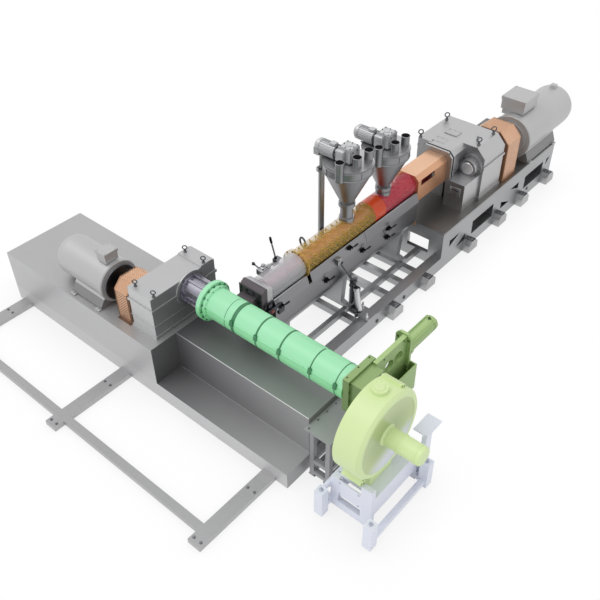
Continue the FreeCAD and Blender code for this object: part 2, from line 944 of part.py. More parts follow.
trolley = [
    block("trolley_post", left, near_row, (trolley_clearance, table_height)),
    block("trolley_post", right, near_row, (trolley_clearance, wide_post_height)),
    block("trolley_post", left, far_row, (trolley_clearance, under_table)),
    block("trolley_post", right, far_row, (trolley_clearance, under_table)),
    block("front_panel", between_posts, (-table_near, panel - table_near), (panel_low, table_height)),
    block("front_rail", between_posts, near_row, (trolley_clearance, rail_top)),
    block("far_rail", between_posts, far_row, (trolley_clearance, rail_top)),
    block("apron", (table_front - panel, table_front), (near_row[1], far_row[0]), (apron_low, under_table)),
]
base_back = size("base_back", 2600)
base_front = size("base_front", 3640)
base_near = size("base_near", 1131)
base_far = size("base_far", 430)
base_rail = size("base_rail", 90)
base_low = size("base_low", 70)
base_high = size("base_high", 160)
corner_side = size("corner_side", 150)
corner_height = size("corner_height", 520)
upper_rail_top = size("upper_rail_top", 560)
corner_xs = (base_back, base_front - corner_side)
corner_ys = (-base_near, base_far - corner_side)
for x in corner_xs:
    for y in corner_ys:
        corner = (as_size(0), corner_height)
        trolley.append(block("corner_block", (x, x + corner_side), (y, y + corner_side), corner))
    middle = x + (corner_side - base_rail) / 2
    rail_x = (middle, middle + base_rail)
    trolley.append(block("base_rail", rail_x, (-base_near, base_far), (base_low, base_high)))
for y in (near_row[0], far_row[0]):
    rail_x = (base_back + base_rail, base_front - base_rail)
    trolley.append(block("base_rail", rail_x, (y, y + post_depth), (base_low, base_high)))
trolley.append(
    block(
        "upper_rail",
        (base_back + base_rail / 2, table_back),
        (-base_near + corner_side, table_far),
        (upper_rail_top - base_rail, upper_rail_top),
    )
)
wing_back = size("wing_back", 3240)
wing_front = size("wing_front", 3490)
wing_near = size("wing_near", 390)
wing_far = size("wing_far", 784)
wing_height = size("wing_height", 1000)
wing_leg = size("wing_leg", 80)
wing_leg_depth = size("wing_leg_depth", 130)
wing_plate = size("wing_plate", 20)
wing_x = (wing_front - wing_leg, wing_front)
wing_y = (table_far, wing_near + wing_leg_depth)
trolley.append(block("wing_leg", wing_x, wing_y, (base_low, wing_height - wing_plate)))
wing_z = (wing_height - wing_plate, wing_height)
trolley.append(block("wing_shelf", (wing_back, wing_front), (wing_near, wing_far), wing_z))
node(several("Part::MultiFuse", "trolley", trolley), "trolley_frame")

# A saddle on the table takes the hood's weight.
hood_saddle_half = size("hood_saddle_half", 260)
hood_saddle_rise = size("hood_saddle_rise", 330)
hood_saddle_x = (changer_front + hood_edge, hood_front - hood_edge * 2)
hood_saddle_y = (hood_side - hood_saddle_half, hood_side + hood_saddle_half)
hood_saddle_z = (table_height, table_height + hood_saddle_rise)
saddle_block = block("hood_saddle_block", hood_saddle_x, hood_saddle_y, hood_saddle_z)
hood_form = rod("hood_form", "X", (changer_front, hood_side, hood_axis), hood_radius, hood_depth)
node(cut_away("hood_saddle_cut", saddle_block, hood_form), "hood_saddle")

# The kneader's bed: two long side frames on the floor, low under the barrel and raised under the
# drive, with cut-outs that lighten the raised part.
bed_half = size("bed_half", 900)
bed_side = size("bed_side", 210)
bed_start = size("bed_start", 700)
bed_step = size("bed_step", 4900)
bed_end = size("bed_end", 9600)
bed_low = size("bed_low", 300)
bed_top = size("bed_top", 900)
top_plate = size("top_plate", 40)
band = size("bed_band", 170)
opening_low = size("opening_low", 270)
opening_high = size("opening_high", 590)
brace_low = size("brace_low", 440)
brace_starts = [size("brace_one", 5180), size("brace_two", 7270)]
brace_reach = size("brace_reach", 380)
brace_length = size("brace_length", 740)
window_starts = [size("window_one", 6060), size("window_two", 8300)]
window_length = size("window_length", 850)
end_start = size("end_opening", 9300)
end_length = size("end_opening_length", 170)
under_plate = bed_top - top_plate


def side_frame(inner):
    """One side of the bed: a stepped plate girder with windows and pairs of triangles beside braces."""
    piece = new_body("bed_side")
    outline = [
        (bed_start, 0),
        (bed_end, 0),
        (bed_end, under_plate),
        (bed_step, under_plate),
        (bed_step, bed_low),
        (bed_start, bed_low),
    ]
    pad(piece, "YZ", (inner, 0, 0), bed_side, outline)
    rising, falling = brace_starts
    rising_end = rising + brace_length * 0.85
    falling_end = falling + brace_length
    cuts = [
        [(rising, brace_low), (rising + brace_reach, opening_high), (rising, opening_high)],
        [(rising_end - brace_reach * 0.9, opening_low), (rising_end, opening_low), (rising_end, brace_low)],
        [(falling, opening_low), (falling + brace_reach, opening_low), (falling, brace_low)],
        [(falling_end - brace_reach, opening_high), (falling_end, opening_high), (falling_end, brace_low)],
        [(end_start, brace_low), (end_start + end_length, opening_high), (end_start, opening_high)],
    ]
    for start in window_starts:
        cuts.append(rectangle((start, start + window_length), (opening_low, opening_high)))
    pocket(piece, "YZ", (inner, 0, 0), bed_side, *cuts)
    return piece


sides = [side_frame(bed_half - bed_side), side_frame(-bed_half)]
node(several("Part::Compound", "sides", sides), "bed_side_frames")
node(
    block("top", (-bed_half, bed_half), (bed_step, bed_end), (under_plate, bed_top)),
    "bed_top_plate",
)

# Cross members tie the side frames, and two inner rails lie on them under the barrel.
cross_width = size("cross_width", 130)
cross_low = size("cross_low", 60)
inner_rail_height = size("inner_rail_height", 120)
inner_rail_half = size("inner_rail_half", 330)
inner_rail_width = size("inner_rail_width", 90)
inner_face = bed_half - bed_side
cross_top = bed_low - inner_rail_height
cross_places = [
    size("cross_one", 760),
    size("cross_two", 2390),
    size("cross_three", 3400),
    size("cross_four", 3880),
    size("cross_five", 4330),
]
crosses = []
for place in cross_places:
    cross_y = (place, place + cross_width)
    crosses.append(block("cross", (-inner_face, inner_face), cross_y, (cross_low, cross_top)))
node(several("Part::Compound", "crosses", crosses), "bed_cross_members")
rails = []
for middle in (-inner_rail_half, inner_rail_half):
    across = (middle - inner_rail_width / 2, middle + inner_rail_width / 2)
    rails.append(block("inner_rail", across, (bed_start, bed_step), (cross_top, bed_low)))
node(several("Part::Compound", "inner_rails", rails), "bed_inner_rails")

# Portals close the raised part's two ends and stiffen its middle.
portals = []
portal_width = size("portal_width", 90)
portal_window = size("portal_window", 500)
for share in (0.0, 0.5, 1.0):
    start = bed_step + (bed_end - bed_step - portal_width) * share
    frame_body = new_body("portal")
    pad(
        frame_body,
        "XZ",
        (0, start, 0),
        portal_width,
        rectangle((-inner_face, inner_face), (cross_low, under_plate)),
    )
    openings = [
        rectangle((side - portal_window / 2, side + portal_window / 2), (bed_low, under_plate - band * 1.4))
        for side in (-inner_rail_half, inner_rail_half)
    ]
    pocket(frame_body, "XZ", (0, start, 0), portal_width, *openings)
    portals.append(frame_body)
node(several("Part::Compound", "portals", portals), "bed_portals")

# Anchor feet with cut shoulders stand out of each side frame's foot.
anchor_width = size("anchor_width", 330)
anchor_reach = size("anchor_reach", 160)
anchor_height = size("anchor_height", 250)
anchor_shoulder = size("anchor_shoulder", 90)
anchor_places = [
    size("anchor_one", 3060),
    size("anchor_two", 4170),
    size("anchor_three", 5770),
    size("anchor_four", 7000),
    size("anchor_five", 8000),
    size("anchor_six", 9200),
]


def anchors(start):
    """Six feet along one side, each an upright plate with both upper corners cut."""
    half = anchor_width / 2
    feet = []
    for place in anchor_places:
        foot = new_body("anchor_foot")
        pad(foot, "YZ", (start, place + half, 0), anchor_reach, arch(half, anchor_height, anchor_shoulder))
        feet.append(foot)
    return feet


feet = anchors(bed_half) + anchors(-bed_half - anchor_reach)
node(several("Part::Compound", "anchors", feet), "bed_anchor_feet")

# The kneader's drive on the raised bed: gearbox with a neck towards the barrel, coupling, motor.
kneader_axis_rise = size("kneader_axis_rise", 855)
kneader_axis = bed_top + kneader_axis_rise
kneader_gear_start = size("kneader_gear_start", 6390)
kneader_gear_length = size("kneader_gear_length", 810)
kneader_gear_half = size("kneader_gear_half", 780)
kneader_gear_height = size("kneader_gear_height", 1144)
kneader_split = size("kneader_split", 740)
neck_length = size("neck_length", 600)
neck_half = size("neck_half", 330)
neck_rise = size("neck_rise", 300)
neck_chamfer = size("neck_chamfer", 90)
neck_flange = size("neck_flange", 45)
neck_flange_proud = size("neck_flange_proud", 40)
roof_slope = size("roof_slope", 200)
kneader_gear_end = kneader_gear_start + kneader_gear_length
neck_face = kneader_gear_start - neck_length
screw_root = size("screw_root", 78)
shaft_clearance = size("shaft_clearance", 0.3)
shaft_seat = size("shaft_seat", 120)

kneader_gear = new_body("kneader_gearbox")
gear_x = (-kneader_gear_half, kneader_gear_half)
gear_y = (kneader_gear_start, kneader_gear_end)
# The housing's section across the line has a flat roof with a slope down each side.
gear_section = [
    (-kneader_gear_half, 0),
    (kneader_gear_half, 0),
    (kneader_gear_half, kneader_gear_height - roof_slope),
    (kneader_gear_half - roof_slope, kneader_gear_height),
    (roof_slope - kneader_gear_half, kneader_gear_height),
    (-kneader_gear_half, kneader_gear_height - roof_slope),
]
pad(kneader_gear, "XZ", (0, kneader_gear_start, bed_top), kneader_gear_length, gear_section)
pad(
    kneader_gear,
    "XY",
    (0, 0, bed_top),
    gear_foot_height,
    rectangle(widened(gear_x, gear_foot_proud), widened(gear_y, gear_foot_proud)),
)
pad(
    kneader_gear,
    "XY",
    (0, 0, bed_top + kneader_split - gear_flange_thickness / 2),
    gear_flange_thickness,
    rectangle(widened(gear_x, gear_flange_proud), widened(gear_y, gear_flange_proud)),
)


def neck_outline(margin):
    """The neck's section: a square with cut corners, about the screw's axis."""
    side = neck_half + margin
    rise = neck_rise + margin
    corner = neck_chamfer + margin * 0.4
    return [
        (-side, corner - rise),
        (corner - side, -rise),
        (side - corner, -rise),
        (side, corner - rise),
        (side, rise - corner),
        (side - corner, rise),
        (corner - side, rise),
        (-side, rise - corner),
    ]


pad(kneader_gear, "XZ", (0, neck_face, kneader_axis), neck_length, neck_outline(as_size(0)))
pad(kneader_gear, "XZ", (0, neck_face, kneader_axis), neck_flange, neck_outline(neck_flange_proud))
second_flange = neck_face + neck_flange * 2
pad(kneader_gear, "XZ", (0, second_flange, kneader_axis), neck_flange, neck_outline(neck_flange_proud))
# The roof reaches forward over the neck's far part, and a low block stands below on the near side.
front_roof_length = size("front_roof_length", 370)
front_roof_edge = size("front_roof_edge", 120)
front_roof = (roof_slope - kneader_gear_half, front_roof_edge)
pad(
    kneader_gear,
    "XZ",
    (0, kneader_gear_start - front_roof_length, bed_top),
    front_roof_length,
    rectangle(front_roof, (as_size(0), kneader_gear_height)),
)
front_block = (size("front_block_left", 290), size("front_block_right", 735))
front_block_height = size("front_block_height", 600)
pad(
    kneader_gear,
    "XY",
    (0, 0, bed_top),
    front_block_height,
    rectangle(front_block, (neck_face, kneader_gear_start)),
)
# The input shaft's bearing shows above the block: an arched rim round a blunt cover.
cap_side = size("cap_side", 520)
cap_radius = size("cap_radius", 240)
cap_depth = size("cap_depth", 60)
cover_radius = size("cover_radius", 180)
cover_depth = size("cover_depth", 190)
for radius, depth in ((cap_radius, cap_depth), (cover_radius, cover_depth)):
    pad(
        kneader_gear,
        "XZ",
        (cap_side, kneader_gear_start - depth, bed_top + kneader_split),
        depth,
        (0, 0, radius),
    )
# The screw's shaft runs in a bearing bore in the neck's face.
pocket(
    kneader_gear,
    "XZ",
    (0, neck_face, kneader_axis),
    shaft_seat,
    (0, 0, screw_root + shaft_clearance),
)
node(kneader_gear, "kneader_gearbox")

kneader_motor_side = size("kneader_motor_side", 370)
kneader_motor_rise = size("kneader_motor_rise", 510)
kneader_motor_radius = size("kneader_motor_radius", 480)
kneader_motor_length = size("kneader_motor_length", 2250)
kneader_motor_foot = size("kneader_motor_foot", 500)
kneader_coupling_length = size("kneader_coupling_length", 990)
kneader_motor_front = kneader_gear_end + kneader_coupling_length
kneader_motor_axis = bed_top + kneader_motor_rise
coupling(
    "kneader_coupling",
    "Y",
    (kneader_motor_side, kneader_gear_end, kneader_motor_axis),
    kneader_coupling_length,
)
motor(
    "kneader_motor",
    "Y",
    (kneader_motor_side, kneader_motor_front, kneader_motor_axis),
    kneader_motor_radius,
    kneader_motor_length,
    kneader_motor_foot,
    kneader_motor_rise,
)
kneader_guard_start = size("kneader_guard_start", 100)
kneader_guard_length = size("kneader_guard_length", 520)
kneader_guard_half = size("kneader_guard_half", 450)
kneader_guard_height = size("kneader_guard_height", 1100)
kneader_guard_chamfer = size("kneader_guard_chamfer", 220)
guard(
    "kneader_coupling_guard",
    "XZ",
    (kneader_motor_side, kneader_gear_end + kneader_guard_start, bed_top),
    kneader_guard_length,
    kneader_guard_half,
    kneader_guard_height,
    kneader_guard_chamfer,
)
kneader_box_length = size("kneader_box_length", 600)
kneader_box_setback = size("kneader_box_setback", 250)
kneader_box_half = size("kneader_box_half", 275)
kneader_box_side = size("kneader_box_side", 235)
kneader_box_height = size("kneader_box_height", 310)
kneader_box_start = kneader_motor_front + kneader_box_setback
kneader_box = terminal_box(
    "kneader_terminal_box_block",
    (kneader_box_side - kneader_box_half, kneader_box_side + kneader_box_half),
    (kneader_box_start, kneader_box_start + kneader_box_length),
    kneader_motor_axis + kneader_motor_radius * 0.8,
    kneader_motor_axis + kneader_motor_radius + kneader_box_height,
    box_neck,
)
kneader_back = rod(
    "kneader_motor_back",
    "Y",
    (kneader_motor_side, kneader_motor_front, kneader_motor_axis),
    kneader_motor_radius,
    kneader_motor_length,
)
node(cut_away("kneader_box_cut", kneader_box, kneader_back), "kneader_terminal_box")

# The kneader barrel: four clear zones on one axis, each a thick tube with kneading teeth set in it.
bore_radius = size("bore_radius", 160)
zone_radius = size("zone_radius", 235)
zone_lengths = [
    size("zone_one", 850),
    size("zone_two", 1980),
    size("zone_three", 320),
    size("zone_four", 990),
]
zone_names = ["kneader_zone_outlet", "kneader_zone_heating", "kneader_zone_ring", "kneader_zone_feed"]
discharge_start = size("discharge_start", 400)
discharge_length = size("discharge_length", 250)
zone_start = discharge_start + discharge_length

# Rows of diamond-shaped teeth stand in the barrel wall, one row after each row of the screw's vanes.
vane_rows = 20
vanes_around = 3
vane_pitch = size("vane_pitch", 205)
vane_lead = size("vane_lead", 40)
vane_length = size("vane_length", 120)
vane_slant = size("vane_slant", 90)
vane_thickness = size("vane_thickness", 55)
vane_radius = size("vane_radius", 150)
tooth_half = size("tooth_half", 16)
tooth_tip = size("tooth_tip", 95)
tooth_root = size("tooth_root", 205)
first_vane = zone_start + vane_lead
teeth = []
for row in range(vane_rows):
    middle = first_vane + vane_pitch * row + (vane_length + vane_pitch) / 2
    for step in range(vanes_around):
        angle = 180 + 360 / vanes_around * step
        across, up = math.sin(math.radians(angle)), math.cos(math.radians(angle))
        tooth = doc.addObject("Part::Prism", "tooth")
        tooth.Polygon = 4
        tooth.Placement = Placement(Vector(0, 0, 0), Rotation(Vector(0, 1, 0), angle))
        bind(tooth, "Circumradius", tooth_half)
        bind(tooth, "Height", tooth_root - tooth_tip)
        bind(tooth, "Placement.Base.x", tooth_tip * across)
        bind(tooth, "Placement.Base.y", middle)
        bind(tooth, "Placement.Base.z", kneader_axis + tooth_tip * up)
        teeth.append(tooth)
teeth_piece = several("Part::Compound", "teeth", teeth)
node(teeth_piece, "kneading_teeth")

# The kneading screw: a shaft with three slanted vanes in each row, their tips turned round. Its ends
# run in the discharge head and in the gearbox neck.
end_play = size("end_play", 1)
screw_start = zone_start - shaft_seat + end_play
screw_length = neck_face + shaft_seat - end_play - screw_start
screw = new_body("screw_vanes")
shaft = turn(
    screw,
    "Y",
    (0, screw_start, kneader_axis),
    rectangle((0, screw_length), (0, screw_root)),
)
vane = pad(
    screw,
    "XY",
    (0, first_vane, kneader_axis),
    vane_radius * 1.2,
    [
        (-(vane_slant + vane_thickness) / 2, 0),
        ((vane_thickness - vane_slant) / 2, 0),
        ((vane_slant + vane_thickness) / 2, vane_length),
        ((vane_slant - vane_thickness) / 2, vane_length),
    ],
)
doc.recompute()
along = doc.addObject("PartDesign::LinearPattern", "vanes_along")
along.Direction = (vane.Profile[0], ["V_Axis"])
bind(along, "Length", vane_pitch * (vane_rows - 1))
along.Occurrences = vane_rows
around = doc.addObject("PartDesign::PolarPattern", "vanes_around")
around.Axis = (shaft.Profile[0], ["H_Axis"])
around.Angle = 360
around.Occurrences = vanes_around
vanes = screw.newObject("PartDesign::MultiTransform", "vanes")
vanes.Originals = [vane]
vanes.Transformations = [along, around]
screw.Tip = vanes
envelope = rod("screw_envelope", "Y", (as_size(0), screw_start, kneader_axis), vane_radius, screw_length)
turned = doc.addObject("Part::Common", "screw_turned")
turned.Base = screw
turned.Tool = envelope
node(turned, "kneader_screw")

flange_width = size("zone_flange_width", 60)
flange_proud = size("zone_flange_proud", 45)
hopper_places = [size("hopper_one", 2890), size("hopper_two", 3990)]
feed_hole = size("feed_hole", 75)
feed_holes = {"kneader_zone_heating": hopper_places[0], "kneader_zone_feed": hopper_places[1]}
station = zone_start
for name, length in zip(zone_names, zone_lengths):
    zone = new_body(f"{name}_tube")
    outer = [
        (0, bore_radius),
        (0, zone_radius),
        (length, zone_radius),
        (length, bore_radius),
    ]
    if name == "kneader_zone_heating":
        outer = [
            (0, bore_radius),
            (0, zone_radius + flange_proud),
            (flange_width, zone_radius + flange_proud),
            (flange_width, zone_radius),
            (length, zone_radius),
            (length, bore_radius),
        ]
    turn(zone, "Y", (0, station, kneader_axis), outer)
    if name in feed_holes:
        pocket(zone, "XY", (0, feed_holes[name], kneader_axis), zone_radius * 1.1, (0, 0, feed_hole))
    node(cut_away(name, zone, teeth_piece), name)
    station = station + length
zone_end = station

# The discharge head takes the kneaded mass down into the extruder barrel's side.
head_half = size("head_half", 242)
head_rise = size("head_rise", 170)
head_drop = size("head_drop", 330)
head_gap = size("head_gap", 0.3)
throat_half = size("throat_half", 150)
head = new_body("discharge_head_block")
pad(
    head,
    "YZ",
    (-head_half, discharge_start, kneader_axis),
    head_half * 2,
    [
        (0, -head_drop),
        (discharge_length, -head_drop),
        (discharge_length, head_rise),
        (discharge_length * 0.35, head_rise + discharge_length * 0.25),
        (0, head_rise),
    ],
)
pocket(
    head,
    "XZ",
    (0, zone_start - shaft_seat, kneader_axis),
    shaft_seat,
    (0, 0, screw_root + shaft_clearance),
)
throat = block(
    "throat",
    (-throat_half, throat_half),
    (barrel_radius * 0.5, discharge_start),
    (extruder_axis - throat_half, extruder_axis + throat_half),
)
barrel_form = rod(
    "barrel_form",
    "X",
    (-throat_half * 2, as_size(0), extruder_axis),
    barrel_radius + head_gap,
    throat_half * 4,
)
throat_piece = cut_away("throat_cut", throat, barrel_form)
node(several("Part::MultiFuse", "head", [head, throat_piece]), "discharge_head")

# A U-shaped trough carries the barrel on three saddles, and stands on legs on the inner rails.
trough_half = size("trough_half", 300)
trough_rise = size("trough_rise", 1100)
trough_wall = size("trough_wall", 16)
trough_lip = size("trough_lip", 60)
trough_gap = size("trough_gap", 40)
trough_start = zone_start
trough_top = kneader_axis - zone_radius - trough_gap
trough_length = zone_end - zone_start
outer_round = rod("trough_round", "Y", (as_size(0), trough_start, trough_rise), trough_half, trough_length)
trough_x = (-trough_half, trough_half)
outer_box = block("trough_box", trough_x, (trough_start, zone_end), (trough_rise, trough_top))
inner_half = trough_half - trough_wall
inner_round = rod(
    "trough_inner_round",
    "Y",
    (as_size(0), trough_start + trough_wall, trough_rise),
    inner_half,
    trough_length - trough_wall * 2,
)
inner_box = block(
    "trough_inner_box",
    (-inner_half, inner_half),
    (trough_start + trough_wall, zone_end - trough_wall),
    (trough_rise, trough_top + trough_wall),
)
trough_outer = several("Part::MultiFuse", "trough_outer", [outer_round, outer_box])
trough_inner = several("Part::MultiFuse", "trough_inner", [inner_round, inner_box])
node(cut_away("trough", trough_outer, trough_inner), "kneader_trough")

saddle_width = size("saddle_width", 80)
saddle_places = [size("saddle_one", 900), size("saddle_two", 2500), size("saddle_three", 4300)]
saddles = []
legs = []
leg_width = size("leg_width", 120)
leg_half = size("leg_half", 380)
for place in saddle_places:
    seat = new_body("saddle")
    rise = trough_gap + zone_radius * 0.35
    pad(
        seat,
        "XZ",
        (0, place, trough_top),
        saddle_width,
        [
            (-trough_half, 0),
            (trough_half, 0),
            (trough_half, trough_gap * 0.6),
            (trough_half * 0.72, rise),
            (-trough_half * 0.72, rise),
            (-trough_half, trough_gap * 0.6),
        ],
    )
    form = rod("saddle_form", "Y", (as_size(0), place, kneader_axis), zone_radius + head_gap, saddle_width)
    saddles.append(cut_away("saddle_cut", seat, form))
    leg = new_body("leg")
    pad(
        leg,
        "XZ",
        (0, place, bed_low),
        leg_width,
        [
            (-leg_half, 0),
            (leg_half, 0),
            (leg_half, foot_thickness),
            (trough_half * 0.75, foot_thickness * 2),
            (trough_half * 0.95, trough_rise - bed_low),
            (-trough_half * 0.95, trough_rise - bed_low),
            (-trough_half * 0.75, foot_thickness * 2),
            (-leg_half, foot_thickness),
        ],
    )
    form = rod("leg_form", "Y", (as_size(0), place, trough_rise), trough_half + head_gap, leg_width)
    legs.append(cut_away("leg_cut", leg, form))
node(several("Part::Compound", "saddles", saddles), "barrel_saddles")
node(several("Part::Compound", "legs", legs), "trough_legs")

# The lantern guard: a copper hood over the screw's shaft between barrel and gearbox, with a window
# in its side and a full-height front plate that the barrel's end passes into.
lantern_guard_half = size("lantern_guard_half", 270)
lantern_guard_rise = size("lantern_guard_rise", 240)
lantern_guard_chamfer = size("lantern_guard_chamfer", 90)
lantern_guard_drop = size("lantern_guard_drop", 300)
window_setback = size("window_setback", 100)
window_reach = size("window_reach", 460)
window_low = size("window_low", 20)
window_high = size("window_high", 150)
front_plate = size("front_plate", 40)
lantern_guard = new_body("kneader_lantern_guard")
guard_top = lantern_guard_drop + lantern_guard_rise
pad(
    lantern_guard,
    "XZ",
    (0, zone_end + front_plate, kneader_axis - lantern_guard_drop),
    neck_face - zone_end - front_plate,
    arch(lantern_guard_half, guard_top, lantern_guard_chamfer),
)
pocket(
    lantern_guard,
    "XZ",
    (0, zone_end + front_plate, kneader_axis - lantern_guard_drop),
    neck_face - zone_end - front_plate,
    arch(lantern_guard_half - guard_sheet, guard_top - guard_sheet, lantern_guard_chamfer),
)
pad(
    lantern_guard,
    "XZ",
    (0, zone_end, bed_top),
    front_plate,
    arch(lantern_guard_half, kneader_axis + lantern_guard_rise - bed_top, lantern_guard_chamfer),
)
pocket(lantern_guard, "XZ", (0, zone_end, kneader_axis), front_plate, (0, 0, bore_radius))
pocket(
    lantern_guard,
    "YZ",
    (lantern_guard_half - guard_sheet * 2, zone_end + window_setback, kneader_axis),
    guard_sheet * 3,
    rectangle((0, window_reach), (window_low, window_high)),
)
node(lantern_guard, "kneader_lantern_guard")

# Two feed hoppers stand on the barrel, the second lower than the first. Each is a straight cone under
# a short drum, with a lid, three inlet pipes and a stirrer drive.
hopper_radius = size("hopper_radius", 430)
hopper_wall = size("hopper_wall", 8)
hopper_rim = size("hopper_rim", 2990)
hopper_top = size("hopper_top", 3140)
hopper_drops = [size("hopper_one_drop", 0), size("hopper_two_drop", 205)]
cone_bottom = size("cone_bottom", 2330)
outlet_radius = size("outlet_radius", 115)
outlet_bottom = size("outlet_bottom", 2030)
collar_radius = size("collar_radius", 150)
collar_height = size("collar_height", 70)
lid_thickness = size("lid_thickness", 20)
stub_radius = size("stub_radius", 76)
stub_wall = size("stub_wall", 6)
stub_height = size("stub_height", 190)
stub_sides = [size("stub_one_side", 252), size("stub_two_side", 251), size("stub_three_side", 131)]
stub_places = [size("stub_one_place", -95), size("stub_two_place", 222), size("stub_three_place", -412)]
gear_half = size("hopper_gear_half", 130)
gear_height = size("hopper_gear_height", 270)
drive_radius = size("drive_radius", 120)
drive_reach = size("drive_reach", 600)
drive_side = size("drive_side", 90)
drive_rise = size("drive_rise", 130)
drive_foot = size("drive_foot", 110)
post_side = size("post_side", -540)
post_place = size("post_place", 2840)
post_top = size("post_top", 3150)

wall = hopper_wall
lid_top = hopper_top + lid_thickness
stubs = list(zip(stub_sides, stub_places))
shells = []
lids = []
drives = []
feed_necks = []
for place, drop in zip(hopper_places, hopper_drops):
    shell = new_body("hopper_shell")
    turn(
        shell,
        "Z",
        (0, place, -drop),
        [
            (outlet_radius, outlet_bottom + drop),
            (outlet_radius, cone_bottom - collar_height),
            (collar_radius, cone_bottom - collar_height),
            (collar_radius, cone_bottom),
            (outlet_radius, cone_bottom),
            (hopper_radius, hopper_rim),
            (hopper_radius, hopper_top),
            (hopper_radius - wall, hopper_top),
            (hopper_radius - wall, hopper_rim + wall * 0.6),
            (outlet_radius - wall, cone_bottom + wall * 0.6),
            (outlet_radius - wall, outlet_bottom + drop),
        ],
    )
    # The third inlet pipe runs down the drum's flank.
    u, v = stubs[2]
    flank_pipe = doc.addObject("Part::Cylinder", "flank_pipe")
    bind(flank_pipe, "Radius", stub_radius)
    bind(flank_pipe, "Height", lid_top + stub_height - hopper_rim)
    for letter, start in zip("xyz", (u, place + v, hopper_rim - drop)):
        bind(flank_pipe, f"Placement.Base.{letter}", start)
    flank_bore = rod(
        "flank_bore",
        "Z",
        (u, place + v, hopper_rim + stub_wall * 2 - drop),
        stub_radius - stub_wall,
        lid_top + stub_height - hopper_rim,
    )
    shell_pipe = several("Part::MultiFuse", "shell_pipe", [shell, flank_pipe])
    shells.append(cut_away("shell_bored", shell_pipe, flank_bore))

    lid = new_body("hopper_lid")
    lid_base = hopper_top - drop
    pad(lid, "XY", (0, place, lid_base), lid_thickness, (0, 0, hopper_radius))
    for u, v in stubs[:2]:
        pad(lid, "XY", (u, place + v, lid_base), lid_thickness + stub_height, (0, 0, stub_radius))
    for u, v in stubs[:2]:
        whole = lid_thickness + stub_height
        pocket(lid, "XY", (u, place + v, lid_base), whole, (0, 0, stub_radius - stub_wall))
    u, v = stubs[2]
    pocket(lid, "XY", (u, place + v, lid_base), lid_thickness, (0, 0, stub_radius + head_gap))
    lids.append(lid)

    drive = new_body("hopper_drive")
    base = lid_top - drop
    across = (-gear_half, gear_half)
    pad(drive, "XY", (0, place, base), gear_height, rectangle(across, across))
    turn(
        drive,
        "X",
        (0, place - drive_side, base + drive_rise),
        [
            (0, 0),
            (0, drive_radius * 0.8),
            (-gear_half * 1.15, drive_radius * 0.8),
            (-gear_half * 1.15, drive_radius),
            (-drive_reach * 0.94, drive_radius),
            (-drive_reach, drive_radius * 0.75),
            (-drive_reach, 0),
        ],
    )
    if not drives:
        foot_x = (-drive_reach, drive_foot - drive_reach)
        foot_y = (-drive_side - drive_foot, drive_foot - drive_side)
        pad(drive, "XY", (0, place, post_top), drive_rise, rectangle(foot_x, foot_y))
    drives.append(drive)

    neck = new_body("feed_neck")
    pad(neck, "XY", (0, place, kneader_axis), outlet_bottom - kneader_axis, (0, 0, outlet_radius + wall * 3))
    pocket(neck, "XY", (0, place, kneader_axis), outlet_bottom - kneader_axis, (0, 0, feed_hole))
    form_start = (as_size(0), place - collar_radius, kneader_axis)
    form = rod("feed_neck_form", "Y", form_start, zone_radius + head_gap, collar_radius * 2)
    feed_necks.append(cut_away("feed_neck_cut", neck, form))
node(several("Part::Compound", "feed_necks", feed_necks), "feed_necks")
node(several("Part::Compound", "hopper_shells", shells), "hoppers")
node(several("Part::Compound", "hopper_lids", lids), "hopper_lids")
node(several("Part::Compound", "hopper_drives", drives), "hopper_drives")

# A tall post on the bed's far side carries the first hopper's drive, with a collar where it narrows.
post_radius = size("post_radius", 56)
post_tip_radius = size("post_tip_radius", 42)
post_flange_radius = size("post_flange_radius", 95)
post_flange_height = size("post_flange_height", 40)
post_flange_level = size("post_flange_level", 2780)
post_plate = size("post_plate", 25)
post = new_body("feeder_post")
pad(
    post,
    "XY",
    (0, 0, bed_low),
    post_plate,
    rectangle(
        (-bed_half, inner_rail_width / 2 - inner_rail_half),
        (post_place - post_flange_radius * 1.5, post_place + post_flange_radius * 1.5),
    ),
)
pad(post, "XY", (post_side, post_place, bed_low), post_flange_level - bed_low, (0, 0, post_radius))
pad(post, "XY", (post_side, post_place, bed_low), post_top - bed_low, (0, 0, post_tip_radius))
pad(post, "XY", (post_side, post_place, post_flange_level), post_flange_height, (0, 0, post_flange_radius))
node(post, "feeder_post")

# Hand lever of the outlet valve, leaning from a small wedge on the outlet zone's far flank.
lever_side = size("lever_side", -215)
lever_place = size("lever_place", 1280)
lever_low = size("lever_low", 1770)
lever_high = size("lever_high", 1925)
lever_block_half = size("lever_block_half", 55)
lever_block_length = size("lever_block_length", 120)
lever_length = size("lever_length", 560)
lever_radius = size("lever_radius", 14)
lever_lean = 13
lever_foot = cut_away(
    "lever_foot",
    block(
        "lever_block",
        (lever_side - lever_block_half, lever_side + lever_block_half),
        (lever_place - lever_block_length / 2, lever_place + lever_block_length / 2),
        (lever_low, lever_high),
    ),
    rod(
        "lever_form",
        "Y",
        (as_size(0), lever_place - lever_block_length, kneader_axis),
        zone_radius + head_gap,
        lever_block_length * 2,
    ),
)
lever_bar = rod(
    "lever_bar",
    "Z",
    (lever_side - lever_block_half / 2, lever_place, lever_high - lever_block_half),
    lever_radius,
    lever_length,
)
lever_bar.Placement = Placement(lever_bar.Placement.Base, Rotation(Vector(1, 0, 0), lever_lean))
node(several("Part::MultiFuse", "lever", [lever_foot, lever_bar]), "outlet_lever")

